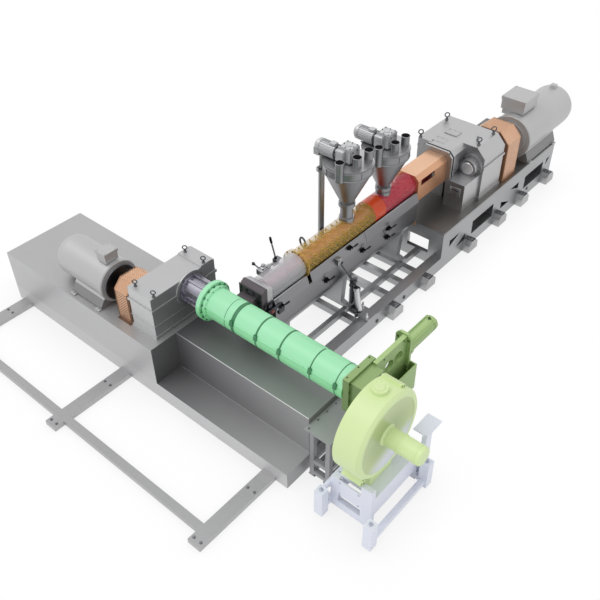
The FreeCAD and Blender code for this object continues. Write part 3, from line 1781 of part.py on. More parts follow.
# Valve unit with its strut, on a bracket across the bed's inner rail and side frame.
valve_place = size("valve_place", 2600)
valve_side = size("valve_side", 470)
valve_width = size("valve_width", 150)
valve_height = size("valve_height", 480)
valve_plate = size("valve_plate", 25)
valve = new_body("valve_unit")
pad(
    valve,
    "XY",
    (0, valve_place, bed_low),
    valve_plate,
    rectangle((leg_half + valve_plate, bed_half), (-valve_width, valve_width)),
)
pad(
    valve,
    "XY",
    (valve_side, valve_place, bed_low),
    valve_height,
    rectangle((-valve_width / 2, valve_width / 2), (-valve_width / 2, valve_width / 2)),
)
pad(
    valve,
    "XY",
    (valve_side, valve_place, bed_low),
    valve_height * 1.5,
    (0, 0, valve_width * 0.28),
)
node(valve, "valve_unit")

doc.recompute()
faults = [thing.Name for thing in doc.Objects if "Invalid" in thing.State or "Error" in thing.State]
for piece in nodes:
    if piece.Shape.isNull() or not piece.Shape.isValid() or not piece.Shape.Solids:
        faults.append(piece.Label)
if faults:
    raise SystemExit(f"these pieces failed: {faults}")

os.makedirs("parts", exist_ok=True)
for piece in nodes:
    piece.Shape.exportStep(f"parts/{piece.Label}.step")
print(len(nodes), "pieces written")
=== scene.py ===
import math

import bmesh
import bpy
from mathutils import Matrix, Vector


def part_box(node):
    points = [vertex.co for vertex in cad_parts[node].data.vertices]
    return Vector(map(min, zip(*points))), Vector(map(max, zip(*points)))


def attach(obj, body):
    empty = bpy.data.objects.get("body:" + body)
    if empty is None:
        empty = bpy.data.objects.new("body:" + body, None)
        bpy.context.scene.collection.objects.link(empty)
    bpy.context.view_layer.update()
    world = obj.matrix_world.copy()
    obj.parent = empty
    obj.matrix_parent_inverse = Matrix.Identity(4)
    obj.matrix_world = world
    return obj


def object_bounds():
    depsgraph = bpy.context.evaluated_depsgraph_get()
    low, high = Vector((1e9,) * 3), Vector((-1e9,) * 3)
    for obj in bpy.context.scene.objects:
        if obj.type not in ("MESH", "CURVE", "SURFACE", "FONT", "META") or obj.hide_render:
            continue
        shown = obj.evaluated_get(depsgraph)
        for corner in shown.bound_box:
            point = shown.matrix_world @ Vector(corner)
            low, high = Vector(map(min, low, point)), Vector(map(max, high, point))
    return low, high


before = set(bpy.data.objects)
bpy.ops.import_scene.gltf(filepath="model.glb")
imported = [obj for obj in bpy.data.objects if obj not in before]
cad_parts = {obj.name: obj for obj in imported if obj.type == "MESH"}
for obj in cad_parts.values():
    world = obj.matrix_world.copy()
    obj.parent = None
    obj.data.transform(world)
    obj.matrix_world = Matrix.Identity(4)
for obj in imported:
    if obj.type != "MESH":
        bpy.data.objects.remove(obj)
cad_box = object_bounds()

# The view: a camera high over the pelletizer's end of the line, looking along both machines, with a
# hint of roll. Its place and lens follow the photo's vanishing lines.
CAMERA_PLACE = Vector((6.87, -6.30, 10.0))
CAMERA_TURN = 41.0
CAMERA_DIP = 41.0
CAMERA_ROLL = -0.7
CAMERA_LENS = 46.8

camera_data = bpy.data.cameras.new("camera")
camera_data.sensor_width = 36
camera_data.lens = CAMERA_LENS
camera_data.clip_end = 200
camera = bpy.data.objects.new("camera", camera_data)
bpy.context.collection.objects.link(camera)
turned_to = Matrix.Rotation(math.radians(CAMERA_TURN), 4, "Z")
tipped = Matrix.Rotation(math.radians(90 - CAMERA_DIP), 4, "X")
rolled = Matrix.Rotation(math.radians(CAMERA_ROLL), 4, "Z")
camera.matrix_world = Matrix.Translation(CAMERA_PLACE) @ turned_to @ tipped @ rolled
bpy.context.scene.camera = camera
bpy.context.scene.view_settings.view_transform = "Standard"


class Wire:
    """A shader socket that takes part in Python sums; each sum adds a Math node."""

    def __init__(self, paint, socket):
        self.paint = paint
        self.socket = socket

    def math(self, operation, *values):
        return self.paint.node("ShaderNodeMath", {"operation": operation}, dict(enumerate(values)))["Value"]

    def __add__(self, other):
        return self.math("ADD", self, other)

    __radd__ = __add__

    def __sub__(self, other):
        return self.math("SUBTRACT", self, other)

    def __rsub__(self, other):
        return self.math("SUBTRACT", other, self)

    def __mul__(self, other):
        return self.math("MULTIPLY", self, other)

    __rmul__ = __mul__

    def __truediv__(self, other):
        return self.math("DIVIDE", self, other)

    def __rtruediv__(self, other):
        return self.math("DIVIDE", other, self)

    def __gt__(self, other):
        return self.math("GREATER_THAN", self, other)

    def __lt__(self, other):
        return self.math("LESS_THAN", self, other)

    def __mod__(self, other):
        return self.math("FLOORED_MODULO", self, other)

    def __abs__(self):
        return self.math("ABSOLUTE", self)

    def held(self):
        """The value, kept between 0 and 1."""
        return self.math("MINIMUM", self.math("MAXIMUM", self, 0.0), 1.0)


def tone(red, green, blue):
    """A screen colour, from 0 to 255, as a shader takes it."""
    parts = (part / 255 for part in (red, green, blue))
    return (*(part / 12.92 if part <= 0.04045 else ((part + 0.055) / 1.055) ** 2.4 for part in parts), 1)


class Paint:
    """A material or the world; node() adds any shader node. Colours of three numbers are screen colours."""

    def __init__(self, name, owner=None):
        self.owner = owner or bpy.data.materials.new(name)
        self.owner.use_nodes = True
        self.tree = self.owner.node_tree
        self.shader = self.tree.nodes.get("Principled BSDF")

    def node(self, kind, settings=None, values=None):
        made = self.tree.nodes.new(kind)
        for key, value in (settings or {}).items():
            setattr(made, key, value)
        for key, value in (values or {}).items():
            self.feed(made.inputs[key], value)
        return {socket.name: Wire(self, socket) for socket in made.outputs if socket.enabled}

    def feed(self, socket, value):
        if isinstance(value, Wire):
            self.tree.links.new(value.socket, socket)
        elif socket.type == "RGBA" and len(value) == 3:
            socket.default_value = tone(*value)
        else:
            socket.default_value = value

    def set(self, **values):
        for key, value in values.items():
            self.feed(self.shader.inputs[key.replace("_", " ").title()], value)

    def split(self, vector):
        parts = self.node("ShaderNodeSeparateXYZ", None, {"Vector": vector})
        return parts["X"], parts["Y"], parts["Z"]

    def place(self):
        return self.node("ShaderNodeTexCoord")["Object"]

    def facing(self):
        return self.node("ShaderNodeTexCoord")["Normal"]

    def noise(self, scale, detail=3.0, stretch=(1, 1, 1)):
        spread = self.node("ShaderNodeMapping", None, {"Vector": self.place(), "Scale": stretch})["Vector"]
        values = {"Vector": spread, "Scale": scale, "Detail": detail}
        return self.node("ShaderNodeTexNoise", None, values)["Fac"]

    def mix(self, factor, first, second):
        made = self.tree.nodes.new("ShaderNodeMix")
        made.data_type = "RGBA"
        for socket, value in ((0, factor), (6, first), (7, second)):
            self.feed(made.inputs[socket], value)
        return Wire(self, made.outputs[2])

    def bump(self, height, strength, distance):
        values = {"Height": height, "Strength": strength, "Distance": distance}
        return self.node("ShaderNodeBump", None, values)["Normal"]


# The studio: a bright even room with a pale floor that fades to white all round and keeps the
# line's soft shadow. One broad lamp overhead lifts the upper faces.
ROOM_LIGHT = 0.78
LAMP_LIGHT = 0.8
FLOOR_SIZE = 60
FLOOR_COLOUR = (0.93, 0.93, 0.94, 1)


def seen(paint):
    """1 for the rays that show the white backdrop: the camera's, gloss and see-through ones."""
    ray = paint.node("ShaderNodeLightPath")
    return (ray["Is Camera Ray"] + ray["Is Glossy Ray"] + ray["Is Transmission Ray"]).held()


room = bpy.data.worlds.new("room")
bpy.context.scene.world = room
sky = Paint("room", room)
sky.feed(sky.tree.nodes["Background"].inputs["Strength"], ROOM_LIGHT + (1 - ROOM_LIGHT) * seen(sky))
sky.tree.nodes["Background"].inputs["Color"].default_value = (1, 1, 1, 1)

lamp_data = bpy.data.lights.new("lamp", "SUN")
lamp_data.energy = LAMP_LIGHT
lamp_data.angle = math.radians(40)
lamp = bpy.data.objects.new("lamp", lamp_data)
lamp.rotation_euler = (math.radians(18), math.radians(-14), 0)
bpy.context.collection.objects.link(lamp)

form = bmesh.new()
bmesh.ops.create_grid(form, x_segments=1, y_segments=1, size=FLOOR_SIZE)
bmesh.ops.translate(form, verts=form.verts, vec=(0, 3, -0.001))
floor_mesh = bpy.data.meshes.new("floor")
form.to_mesh(floor_mesh)
form.clear()
floor = bpy.data.objects.new("floor", floor_mesh)
bpy.context.collection.objects.link(floor)
ground = Paint("floor")
ground.set(Base_Color=FLOOR_COLOUR, Roughness=0.9)
shadow = ground.node("ShaderNodeAmbientOcclusion", {"samples": 8}, {"Distance": 0.9})["AO"]
glow = ground.node("ShaderNodeEmission", None, {"Color": (1, 1, 1, 1), "Strength": 0.8 + 0.2 * shadow})
look = ground.node(
    "ShaderNodeMixShader",
    None,
    {0: seen(ground), 1: Wire(ground, ground.shader.outputs[0]), 2: glow["Emission"]},
)
ground.feed(ground.tree.nodes["Material Output"].inputs["Surface"], look["Shader"])
floor_mesh.materials.append(ground.owner)


# Foundation: the slab and its two plinths are faced in plain steel sheet with a soft mill gloss. Painted
# shade darkens the sheets that face along X against the trodden tops, and painted light lifts those along
# Y.
def metal(name, light, dark, roughness, grain=14.0, metallic=1.0, bump=0.15, flank_shading=None, front=None):
    """Metal with slow clouds and a fine grain; faces along X and Y can take their own painted shading,
    darker or lighter than the tops.
    """
    paint = Paint(name)
    clouds = paint.noise(0.9, 4.0)
    speckle = paint.noise(grain, 6.0)
    colour = paint.mix(clouds * 0.6 + speckle * 0.4, dark, light)
    if flank_shading:
        facing = paint.split(paint.facing())
        shading_drift = 0.35 + paint.noise(0.35, 2.0, (1.0, 1.0, 1.6))
        # Painted shade and light by facing: faces along Y take the front shading, faces along X the flank
        # shading.
        colour = paint.mix(abs(facing[1]) * shading_drift, colour, front or flank_shading)
        colour = paint.mix(abs(facing[0]) * shading_drift, colour, flank_shading)
    paint.set(
        Base_Color=colour,
        Roughness=roughness - 0.06 + speckle * 0.12,
        Metallic=metallic,
        Normal=paint.bump(paint.noise(grain * 6, 3.0), bump, 0.002),
    )
    return paint.owner


def dress(material, *names):
    """Give CAD nodes their finish."""
    for name in names:
        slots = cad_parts[name].data.materials
        slots.clear()
        slots.append(material)


SLAB_NEAR_SHADE = (110, 110, 112)
SLAB_FAR_LIGHT = (166, 166, 167)
STEP_FRONT_LIGHT = (206, 206, 207)
SLAB_TOP = 0.32
# The drive plinth carries painted shade on its faces along X and painted light on its faces along Y.
plinth_steel = metal(
    "plinth_steel", (184, 184, 185), (172, 172, 173), 0.44, 14, 0.6, 0.1, (92, 92, 94), (196, 196, 197)
)
# The slab and the barrel plinth carry painted shade that deepens toward low X and high Y, by the drive
# plinth, and painted light on their low faces along Y.
step_steel = Paint("step_steel")
place = step_steel.split(step_steel.place())
facing = step_steel.split(step_steel.facing())
reach = (place[0] + 0.9) * 0.32 - (place[1] + 0.6) * 0.22 + step_steel.noise(0.8, 3.0) * 0.3 - 0.15
lit_low_front = abs(facing[1]) * (place[2] < SLAB_TOP + 0.01)
sheet = step_steel.mix(reach, SLAB_NEAR_SHADE, SLAB_FAR_LIGHT)
step_steel.set(
    Base_Color=step_steel.mix(lit_low_front * 0.9, sheet, STEP_FRONT_LIGHT),
    Roughness=0.42 + step_steel.noise(14, 6.0) * 0.1,
    Metallic=0.5,
)
# The floor beams carry painted light on their side faces.
beam_steel = metal("beam_steel", (176, 176, 177), (160, 160, 161), 0.44, 14, 0.7, 0.1, (188, 188, 188))
dress(plinth_steel, "drive_plinth")
dress(step_steel.owner, "foundation_slab", "barrel_plinth")
dress(beam_steel, "floor_crossbeams", "floor_rails")

# Anchor bolts hold the floor beams and rails down, a pair at each free end. A bright rounded strip along
# the long upper edge of the plinth under the barrel is a painted highlight.
BEAM_TOP = 0.09
BEAM_PLACES = (-4.655, -1.735, 1.67)
EAST, WEST = (1, 0, 0), (-1, 0, 0)
NORTH, SOUTH = (0, 1, 0), (0, -1, 0)
UP, DOWN = (0, 0, 1), (0, 0, -1)


def aimed(point, way, roll=0.0):
    """Stands a form's own Z along a way, at a point."""
    turn = Vector(way).to_track_quat("Z", "Y").to_matrix().to_4x4()
    return Matrix.Translation(point) @ turn @ Matrix.Rotation(roll, 4, "Z")


def turned(point, way, profile, steps=48, closed=False, roll=0.0):
    """A profile of radius and height pairs, spun once round a way; left open, it runs in to the axis."""
    before = set(form.verts)
    if not closed:
        (inner, start), (outer, end) = profile[0], profile[-1]
        profile = [(0, start)] * (inner > 0) + profile + [(0, end)] * (outer > 0)
    verts = [form.verts.new((radius, 0, height)) for radius, height in profile]
    edges = [form.edges.new(pair) for pair in zip(verts, verts[1:])]
    if closed:
        edges.append(form.edges.new((verts[-1], verts[0])))
    turn = {"cent": (0, 0, 0), "axis": UP, "dvec": (0, 0, 0), "angle": math.tau}
    bmesh.ops.spin(form, geom=verts + edges, **turn, steps=steps, use_merge=True)
    made = [vert for vert in form.verts if vert not in before]
    bmesh.ops.transform(form, matrix=aimed(point, way, roll), verts=made)


def bolt(point, way, radius):
    """A hexagon head with a chamfered crown, on its washer."""
    turned(point, way, [(radius * 1.5, 0), (radius * 1.5, radius * 0.25)], 12)
    turned(point, way, [(radius, radius * 0.2), (radius, radius * 0.85), (radius * 0.8, radius)], 6)


def bolt_grid(xs, ys, zs, way, size):
    """Bolts at each crossing of the places along X, Y and Z."""
    for x in xs:
        for y in ys:
            for z in zs:
                bolt((x, y, z), way, size)


def finish(name, material, body="line"):
    """Close the form in hand as one piece on the body it rides, and clear it for the next."""
    bmesh.ops.remove_doubles(form, verts=form.verts, dist=0.00001)
    bmesh.ops.recalc_face_normals(form, faces=form.faces)
    mesh = bpy.data.meshes.new(name)
    form.to_mesh(mesh)
    form.clear()
    mesh.materials.append(material)
    mesh.shade_smooth()
    mesh.set_sharp_from_angle(angle=math.radians(32))
    made = bpy.data.objects.new(name, mesh)
    bpy.context.collection.objects.link(made)
    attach(made, body)


bolt_steel = metal("bolt_steel", (150, 151, 155), (112, 113, 118), 0.32, 60)
for x in BEAM_PLACES:
    bolt_grid((x - 0.07, x + 0.07), (-2.62, -1.5), (BEAM_TOP,), UP, 0.018)
finish("beam_bolts", bolt_steel)
low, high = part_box("barrel_plinth")
start = max(low.x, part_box("drive_plinth")[1].x)
# The bright rounded strip is a painted highlight on the plinth's upper edge.
highlight_strip = [(0.007, 0), (0.007, high.x - start - 0.004)]
turned((start + 0.002, low.y + 0.001, high.z + 0.001), EAST, highlight_strip, 12)
finish("plinth_edge_highlight", metal("edge_highlight", (222, 222, 222), (208, 208, 208), 0.34))

# Motors: a smooth cast frame with a domed fan cowl behind, the sides of its foot plates in painted
# shade. An end shield is bolted to the front round a dark face disc of painted shade, a round grille
# covers the cowl's air inlet, and the feet are held down on lugs.
PLINTH_TOP = 1.1
BED_TOP = 0.9
SHIELD_FRONT, SHIELD_BACK = 0.046, 0.064
MOTOR_SIDE, MOTOR_AXIS = -0.53, 1.5
FOOT_LUG = Vector((0.12, 0.075, 0.03))
MOTOR_LIGHT = (192, 192, 192)
MOTOR_DARK = (182, 182, 182)


def motor_coat(name, foot_top):
    """A motor's even grey coat, with painted shade on the sides of its foot plates."""
    paint = Paint(name)
    # Painted shade: the side faces of the foot plates take a darker grey.
    foot = (paint.split(paint.place())[2] < foot_top) * (abs(paint.split(paint.facing())[2]) < 0.85)
    colour = paint.mix(paint.noise(0.9, 4.0), MOTOR_DARK, MOTOR_LIGHT)
    paint.set(Base_Color=paint.mix(foot * 0.9, colour, (128, 128, 129)), Roughness=0.42, Metallic=0.55)
    return paint.owner


motor_grey = metal("motor_grey", MOTOR_LIGHT, MOTOR_DARK, 0.42, 22, 0.55)
dark_steel = metal("dark_steel", (92, 93, 98), (62, 63, 68), 0.35, 30)
dress(motor_coat("extruder_motor_grey", 1.27), "extruder_motor")
dress(motor_coat("kneader_motor_grey", 1.14), "kneader_motor")
dress(motor_grey, "extruder_terminal_box", "kneader_terminal_box")


def box(low, high, edge=0.004, steps=2, turn=Matrix.Identity(4)):
    """A block between two opposite corners, its edges eased."""
    low, high = Vector(low), Vector(high)
    size = map(abs, high - low)
    grown = Matrix.Translation((low + high) / 2) @ turn @ Matrix.Diagonal((*size, 1))
    verts = bmesh.ops.create_cube(form, size=1, matrix=grown)["verts"]
    edges = list(dict.fromkeys(link for vert in verts for link in vert.link_edges))
    ease = {"offset_type": "OFFSET", "profile": 0.5, "affect": "EDGES", "material": -1}
    bmesh.ops.bevel(form, geom=edges, offset=edge, segments=steps, clamp_overlap=True, **ease)


def ring(point, way, radius, wire, steps=40):
    """A round bar bent into a full ring."""
    around = [math.tau * step / 8 for step in range(8)]
    profile = [(radius + wire * math.cos(angle), wire * math.sin(angle)) for angle in around]
    turned(point, way, profile, steps, True)


def bolt_circle(point, way, radius, count, size, start=0.5):
    """Bolts evenly round an axis."""
    for step in range(count):
        spoke = aimed(point, way, math.tau * (step + start) / count)
        bolt(spoke @ Vector((radius, 0, 0)), way, size)


def motor_fittings(name, front, along, radius, length, foot_half, base, shade_disc_share):
    """End shield, dark face disc of painted shade, cowl grille and foot lugs of one motor, from its front
    face.
    """
    front, along = Vector(front), Vector(along)
    across = along.cross(UP)
    bore, rim = radius * 0.82, radius + 0.012
    shield = [(bore, SHIELD_FRONT), (rim - 0.006, SHIELD_FRONT), (rim, SHIELD_FRONT + 0.006)]
    turned(front, along, shield + [(rim, SHIELD_BACK), (bore, SHIELD_BACK)], 64, True)
    finish(f"{name}_shield", motor_grey)
    # The dark disc on the front face is painted shade.
    face = radius * shade_disc_share
    disc = [(face, -0.008), (face + 0.006, -0.003), (face + 0.006, 0.002)]
    turned(front, along, disc, 64)
    bolt_circle(front - along * 0.008, -along, face * 0.92, 12, 0.012)
    rear = front + along * length
    for share in (0.14, 0.27, 0.4, 0.53):
        ring(rear, along, radius * share, 0.006, 48)
    for step in range(8):
        spoke = aimed(rear, along, math.tau * step / 8)
        spokes = {"segments": 8, "radius1": 0.005, "radius2": 0.005, "depth": radius * 0.5}
        bar = bmesh.ops.create_cone(form, cap_ends=True, **spokes)["verts"]
        swing = Matrix.Translation((radius * 0.3, 0, 0)) @ Matrix.Rotation(math.pi / 2, 4, "Y")
        bmesh.ops.transform(form, matrix=spoke @ swing, verts=bar)
    finish(f"{name}_face_and_grille", dark_steel)
    for reach in (0.1, 0.58):
        for side in (-1, 1):
            lug = side * (foot_half + FOOT_LUG.y / 2 - 0.012)
            middle = front + along * (length * reach) + across * lug
            middle.z = base
            half = abs(along.x) * FOOT_LUG.x / 2 + abs(along.y) * FOOT_LUG.y / 2
            deep = abs(along.y) * FOOT_LUG.x / 2 + abs(along.x) * FOOT_LUG.y / 2
            box(middle - Vector((half, deep, 0)), middle + Vector((half, deep, FOOT_LUG.z)), 0.006)
            bolt(middle + Vector((0, 0, FOOT_LUG.z)), UP, 0.02)
    finish(f"{name}_foot_lugs", motor_grey)


motor_fittings("extruder_motor", (-2.2, MOTOR_SIDE, MOTOR_AXIS), WEST, 0.372, 1.4, 0.44, PLINTH_TOP, 0.86)
motor_fittings("kneader_motor", (0.37, 8.19, 1.41), NORTH, 0.48, 2.25, 0.5, BED_TOP, 0.5)
box((0.305, 10.06, 1.79), (0.435, 10.19, 1.965), 0.012)
finish("kneader_motor_lug", motor_grey)

# Terminal boxes: cast boxes on the motors' backs, their lids screwed down at the corners, with two
# cable glands in the side that faces the rear.
for node, gland_way in (("extruder_terminal_box", WEST), ("kneader_terminal_box", NORTH)):
    low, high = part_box(node)
    lid_x, lid_y = (low.x + 0.03, high.x - 0.03), (low.y + 0.03, high.y - 0.03)
    bolt_grid(lid_x, lid_y, (high.z,), UP, 0.009)
    way = Vector(gland_way)
    face = (low + high) / 2 + way * ((high - low).dot(Vector(map(abs, way))) / 2 - 0.012)
    face.z = low.z + (high.z - low.z) * 0.52
    gland = [(0.024, -0.01), (0.024, 0.016), (0.019, 0.02), (0.019, 0.034), (0.012, 0.038)]
    for side in (-0.055, 0.055):
        turned(face + way.cross(UP) * side, way, gland, 20)
finish("terminal_box_fittings", motor_grey)

# Couplings turn under guards of perforated copper-coloured sheet, hemmed at both openings, closed by
# end sheets and bolted down on strips. The holes let the dark coupling show through.
GUARD_HOLE = 0.011
GUARD_PITCH = 0.05
HEM_WIDTH = 0.024
GUARDS = (
    ("extruder", (MOTOR_SIDE, PLINTH_TOP), (0.33, 0.78, 0.16), (-1.93, -1.6), Matrix.Identity(4)),
    ("kneader", (-0.37, BED_TOP), (0.45, 1.1, 0.22), (7.3, 7.82), Matrix.Rotation(math.pi / 2, 4, "Z")),
)


def perforated(name, light, dark, axis):
    """Sheet with staggered round holes on faces that run along an axis, 0 for X or 1 for Y."""
    paint = Paint(name)
    place = paint.split(paint.place())
    facing = paint.split(paint.facing())
    along = place[axis] / GUARD_PITCH
    around = (place[1 - axis] * facing[2] - place[2] * facing[1 - axis]) / GUARD_PITCH
    holes = 0.0
    for shift in (0.0, 0.5):
        u = (along + shift) % 1.0 - 0.5
        v = (around + shift) % 1.0 - 0.5
        holes = holes + (u * u + v * v < (GUARD_HOLE / GUARD_PITCH) ** 2)
    flat = abs(facing[axis]) < 0.5
    clouds = paint.noise(1.6, 4.0)
    grain = paint.noise(60, 3.0)
    paint.set(
        Base_Color=paint.mix(clouds, dark, light),
        Roughness=0.34 + grain * 0.1,
        Metallic=0.75,
        Alpha=1 - holes * flat,
        Normal=paint.bump(grain, 0.1, 0.002),
    )
    return paint.owner


copper_light = (240, 202, 174)
copper_dark = (222, 170, 132)
# Plain copper sheet carries painted shade on its side faces.
copper_plain = metal("copper_plain", copper_light, copper_dark, 0.36, 18, 0.75, 0.1, (206, 150, 112))
dress(dark_steel, "extruder_coupling", "kneader_coupling")
strip_brown = metal("strip_brown", (124, 100, 84), (92, 72, 60), 0.5, 30, 0.3)


def drawn(points, shift, filled=False):
    """Edges through the points, or the face that they bound, drawn out along a shift."""
    verts = [form.verts.new(point) for point in points]
    if filled:
        swept = bmesh.ops.extrude_face_region(form, geom=[form.faces.new(verts)])["geom"]
    else:
        edges = [form.edges.new(pair) for pair in zip(verts, verts[1:])]
        swept = bmesh.ops.extrude_edge_only(form, edges=edges)["geom"]
    moved = [part for part in swept if isinstance(part, bmesh.types.BMVert)]
    bmesh.ops.translate(form, verts=moved, vec=shift)


for axis, (name, (side, base), (half, rise, cut), (start, end), quarter) in enumerate(GUARDS):
    dress(perforated(f"{name}_guard_sheet", copper_light, copper_dark, axis), f"{name}_coupling_guard")
    arch = [(-half, 0), (-half, rise - cut), (cut - half, rise)]
    arch += [(-u, v) for u, v in reversed(arch)]
    for station in (start + 0.002, end - HEM_WIDTH - 0.002):
        drawn([(station, side + u, base + v) for u, v in arch], (HEM_WIDTH, 0, 0))
    bmesh.ops.recalc_face_normals(form, faces=form.faces)
    bmesh.ops.solidify(form, geom=form.faces[:], thickness=0.006)
    for station in (start + 0.006, end - 0.01):
        drawn([(station, side + u * 0.985, base + v * 0.992) for u, v in arch], (0.004, 0, 0), True)
    bmesh.ops.transform(form, matrix=quarter, verts=form.verts)
    finish(f"{name}_guard_hems", copper_plain)
    for hand in (-1, 1):
        edge = side + hand * half
        box((start, edge, base), (end, edge + hand * 0.045, base + 0.008), 0.002)
        for share in (0.15, 0.85):
            bolt((start + (end - start) * share, edge + hand * 0.024, base + 0.008), UP, 0.011)
    bmesh.ops.transform(form, matrix=quarter, verts=form.verts)
    finish(f"{name}_guard_strips", strip_brown)

# Gearboxes: ribbed castings split at bolted flanges. Forged eyes stand at the lid's corners for
# lifting, with a breather and inspection covers between them on the larger one.
GEAR_LID = 2.044
BARREL_AXIS = 1.69
EYE_TURN = -0.855
GEAR_EYES = (
    (-1.471, -0.746, 1.94, 0.1),
    (-1.04, -0.738, 1.94, 0.1),
    (-1.501, 0.378, 1.96, 0.1),
    (-1.05, 0.371, 1.96, 0.1),
    (-0.53, 7.003, GEAR_LID, 0.125),
    (-0.55, 6.05, GEAR_LID, 0.125),
    (0.53, 6.523, GEAR_LID, 0.125),
    (0.53, 7.1, GEAR_LID, 0.125),
)
INSPECTION_COVERS = ((-0.27, 6.5, 0.02, 6.72), (-0.3, 6.08, -0.02, 6.3))
HOUSING_LIGHT = (194, 194, 195)
HOUSING_DARK = (181, 181, 182)
# Painted shading: the extruder housing is darker on its faces along X and lighter along Y; the kneader
# housing is darker on its faces along Y.
housing_grey = metal(
    "housing_grey", HOUSING_LIGHT, HOUSING_DARK, 0.42, 22, 0.45, 0.12, (118, 118, 120), (206, 207, 207)
)
kneader_housing = metal(
    "kneader_housing", HOUSING_LIGHT, HOUSING_DARK, 0.36, 22, 0.9, 0.12, (186, 186, 187), (138, 138, 140)
)
dress(housing_grey, "extruder_gearbox")
dress(kneader_housing, "kneader_gearbox")
for x, y, z, size in GEAR_EYES:
    side = (math.cos(EYE_TURN), math.sin(EYE_TURN), 0)
    ring((x, y, z + size * 0.92), side, size * 0.38, size * 0.1, 32)
    collar = ((0.3, 0), (0.3, 0.1), (0.2, 0.18), (0.15, 0.46))
    turned((x, y, z), UP, [(radius * size, rise * size) for radius, rise in collar], 24)
finish("lifting_eyes", metal("eye_steel", (112, 114, 118), (74, 76, 80), 0.36, 60))


def bolt_row(start, end, count, way, size):
    """Bolts in a straight row."""
    start, end = Vector(start), Vector(end)
    for step in range(count):
        bolt(start.lerp(end, step / (count - 1)), way, size)


for left, near, right, far in INSPECTION_COVERS:
    top = GEAR_LID + 0.014
    box((left, near, GEAR_LID), (right, far, top), 0.004)
    columns = (left + 0.025, (left + right) / 2, right - 0.025)
    bolt_grid(columns, (near + 0.025, far - 0.025), (top,), UP, 0.008)
breather = [(0.03, 0), (0.03, 0.02), (0.016, 0.026), (0.016, 0.05), (0.03, 0.056), (0.03, 0.08), (0, 0.09)]
turned((0.4, 6.7, GEAR_LID), UP, breather, 24)
finish("gearbox_covers", kneader_housing)

bolt_circle((-0.985, 0, BARREL_AXIS), EAST, 0.297, 16, 0.012)
bolt_circle((-1.595, MOTOR_SIDE, MOTOR_AXIS), WEST, 0.21, 10, 0.01)
bolt_circle((0.52, 6.33, 1.64), SOUTH, 0.212, 12, 0.012)
for y, way in ((5.79, SOUTH), (5.835, NORTH)):
    bolt_grid((-0.304, -0.1, 0.1, 0.304), (y,), (1.437, 2.073), way, 0.01)
finish("gearbox_bolts", bolt_steel)

# Rows of small screws draw the halves' flanges together, painted over with the housing.
EXTRUDER_FLANGE = 1.715
KNEADER_FLANGE = 1.665
for x in (-1.581, -0.999):
    bolt_row((x, -0.8, EXTRUDER_FLANGE), (x, 0.53, EXTRUDER_FLANGE), 10, UP, 0.007)
for y in (-0.851, 0.581):
    bolt_row((-1.52, y, EXTRUDER_FLANGE), (-1.06, y, EXTRUDER_FLANGE), 5, UP, 0.007)
for y in (6.379, 7.211):
    bolt_row((-0.74, y, KNEADER_FLANGE), (0.2, y, KNEADER_FLANGE), 8, UP, 0.007)
for x in (-0.791, 0.791):
    bolt_row((x, 6.45, KNEADER_FLANGE), (x, 7.14, KNEADER_FLANGE), 6, UP, 0.007)
finish("flange_screws", housing_grey)

# A polished disc closes the round mouth beside the kneader gearbox's neck. A slotted gate in its frame
# lies low on the block below it.
disc = [(0.128, 0), (0.13, 0.004), (0.124, 0.014), (0.05, 0.02)]
turned((0.52, 6.202, 1.64), SOUTH, disc, 48)
bright_grey = metal("bright_grey", (226, 226, 228), (206, 206, 209), 0.3, 20, 0.7)
finish("neck_disc", bright_grey)
box((0.42, 5.776, 1.2), (0.66, 5.79, 1.4), 0.003)
finish("neck_block_plate", kneader_housing)
box((0.45, 5.768, 1.33), (0.63, 5.777, 1.352), 0.002)
bolt_row((0.435, 5.776, 1.215), (0.645, 5.776, 1.215), 3, SOUTH, 0.007)
finish("neck_block_slot", dark_steel)

# The lantern between gearbox and barrel is dark cast steel with ten ribs, bolted through both rims
# between the ribs.
dress(metal("lantern_steel", (182, 180, 190), (132, 130, 140), 0.28, 30), "extruder_lantern")
bolt_circle((-0.945, 0, BARREL_AXIS), EAST, 0.245, 10, 0.011)
bolt_circle((-0.56, 0, BARREL_AXIS), WEST, 0.245, 10, 0.011)
finish("lantern_bolts", bolt_steel)

# The extruder's barrel carries a smooth light green coat, with painted shade below its split line.
# Dark green bands close its joints, each with a clamp lug where it crosses the split.
BARREL_RADIUS = 0.268
BARREL_JOINTS = (-0.44, 0.201, 0.712, 1.186, 1.7, 2.245)
SEAM_ANGLE = math.radians(17)
FAR_RIB_ANGLE = math.radians(120)
SEAM_HEIGHT = BARREL_AXIS + BARREL_RADIUS * math.sin(SEAM_ANGLE)
BANDS = ((0.036, 0.008), (0.176, 0.07), (0.69, 0.03), (1.166, 0.03), (1.772, 0.02), (2.24, 0.016))


def coat(name, light, dark, shaded_belly):
    """Barrel enamel: two close shades, and painted shade below the split line's height."""
    paint = Paint(name)
    # Painted shade: everything below the split line's height takes the darker tone.
    shade_below = paint.split(paint.place())[2] < SEAM_HEIGHT
    paint.set(
        Base_Color=paint.mix(shade_below, paint.mix(paint.noise(0.9, 4.0), dark, light), shaded_belly),
        Roughness=0.28 + paint.noise(10, 3.0) * 0.12,
    )
    return paint.owner


def band(start, width, proud):
    """A raised hoop round the barrel."""
    outer = BARREL_RADIUS + proud
    hoop = [(0.254, 0), (outer, 0), (outer, width), (0.254, width)]
    turned((start, 0, BARREL_AXIS), EAST, hoop, 72, True)


def on_barrel(place, angle, radius, half, edge):
    """A block laid on the barrel at an angle up from its near side; gives its middle."""
    middle = Vector((place, -math.cos(angle) * radius, BARREL_AXIS + math.sin(angle) * radius))
    half = Vector(half)
    box(middle - half, middle + half, edge, 2, Matrix.Rotation(-angle, 4, "X"))
    return middle


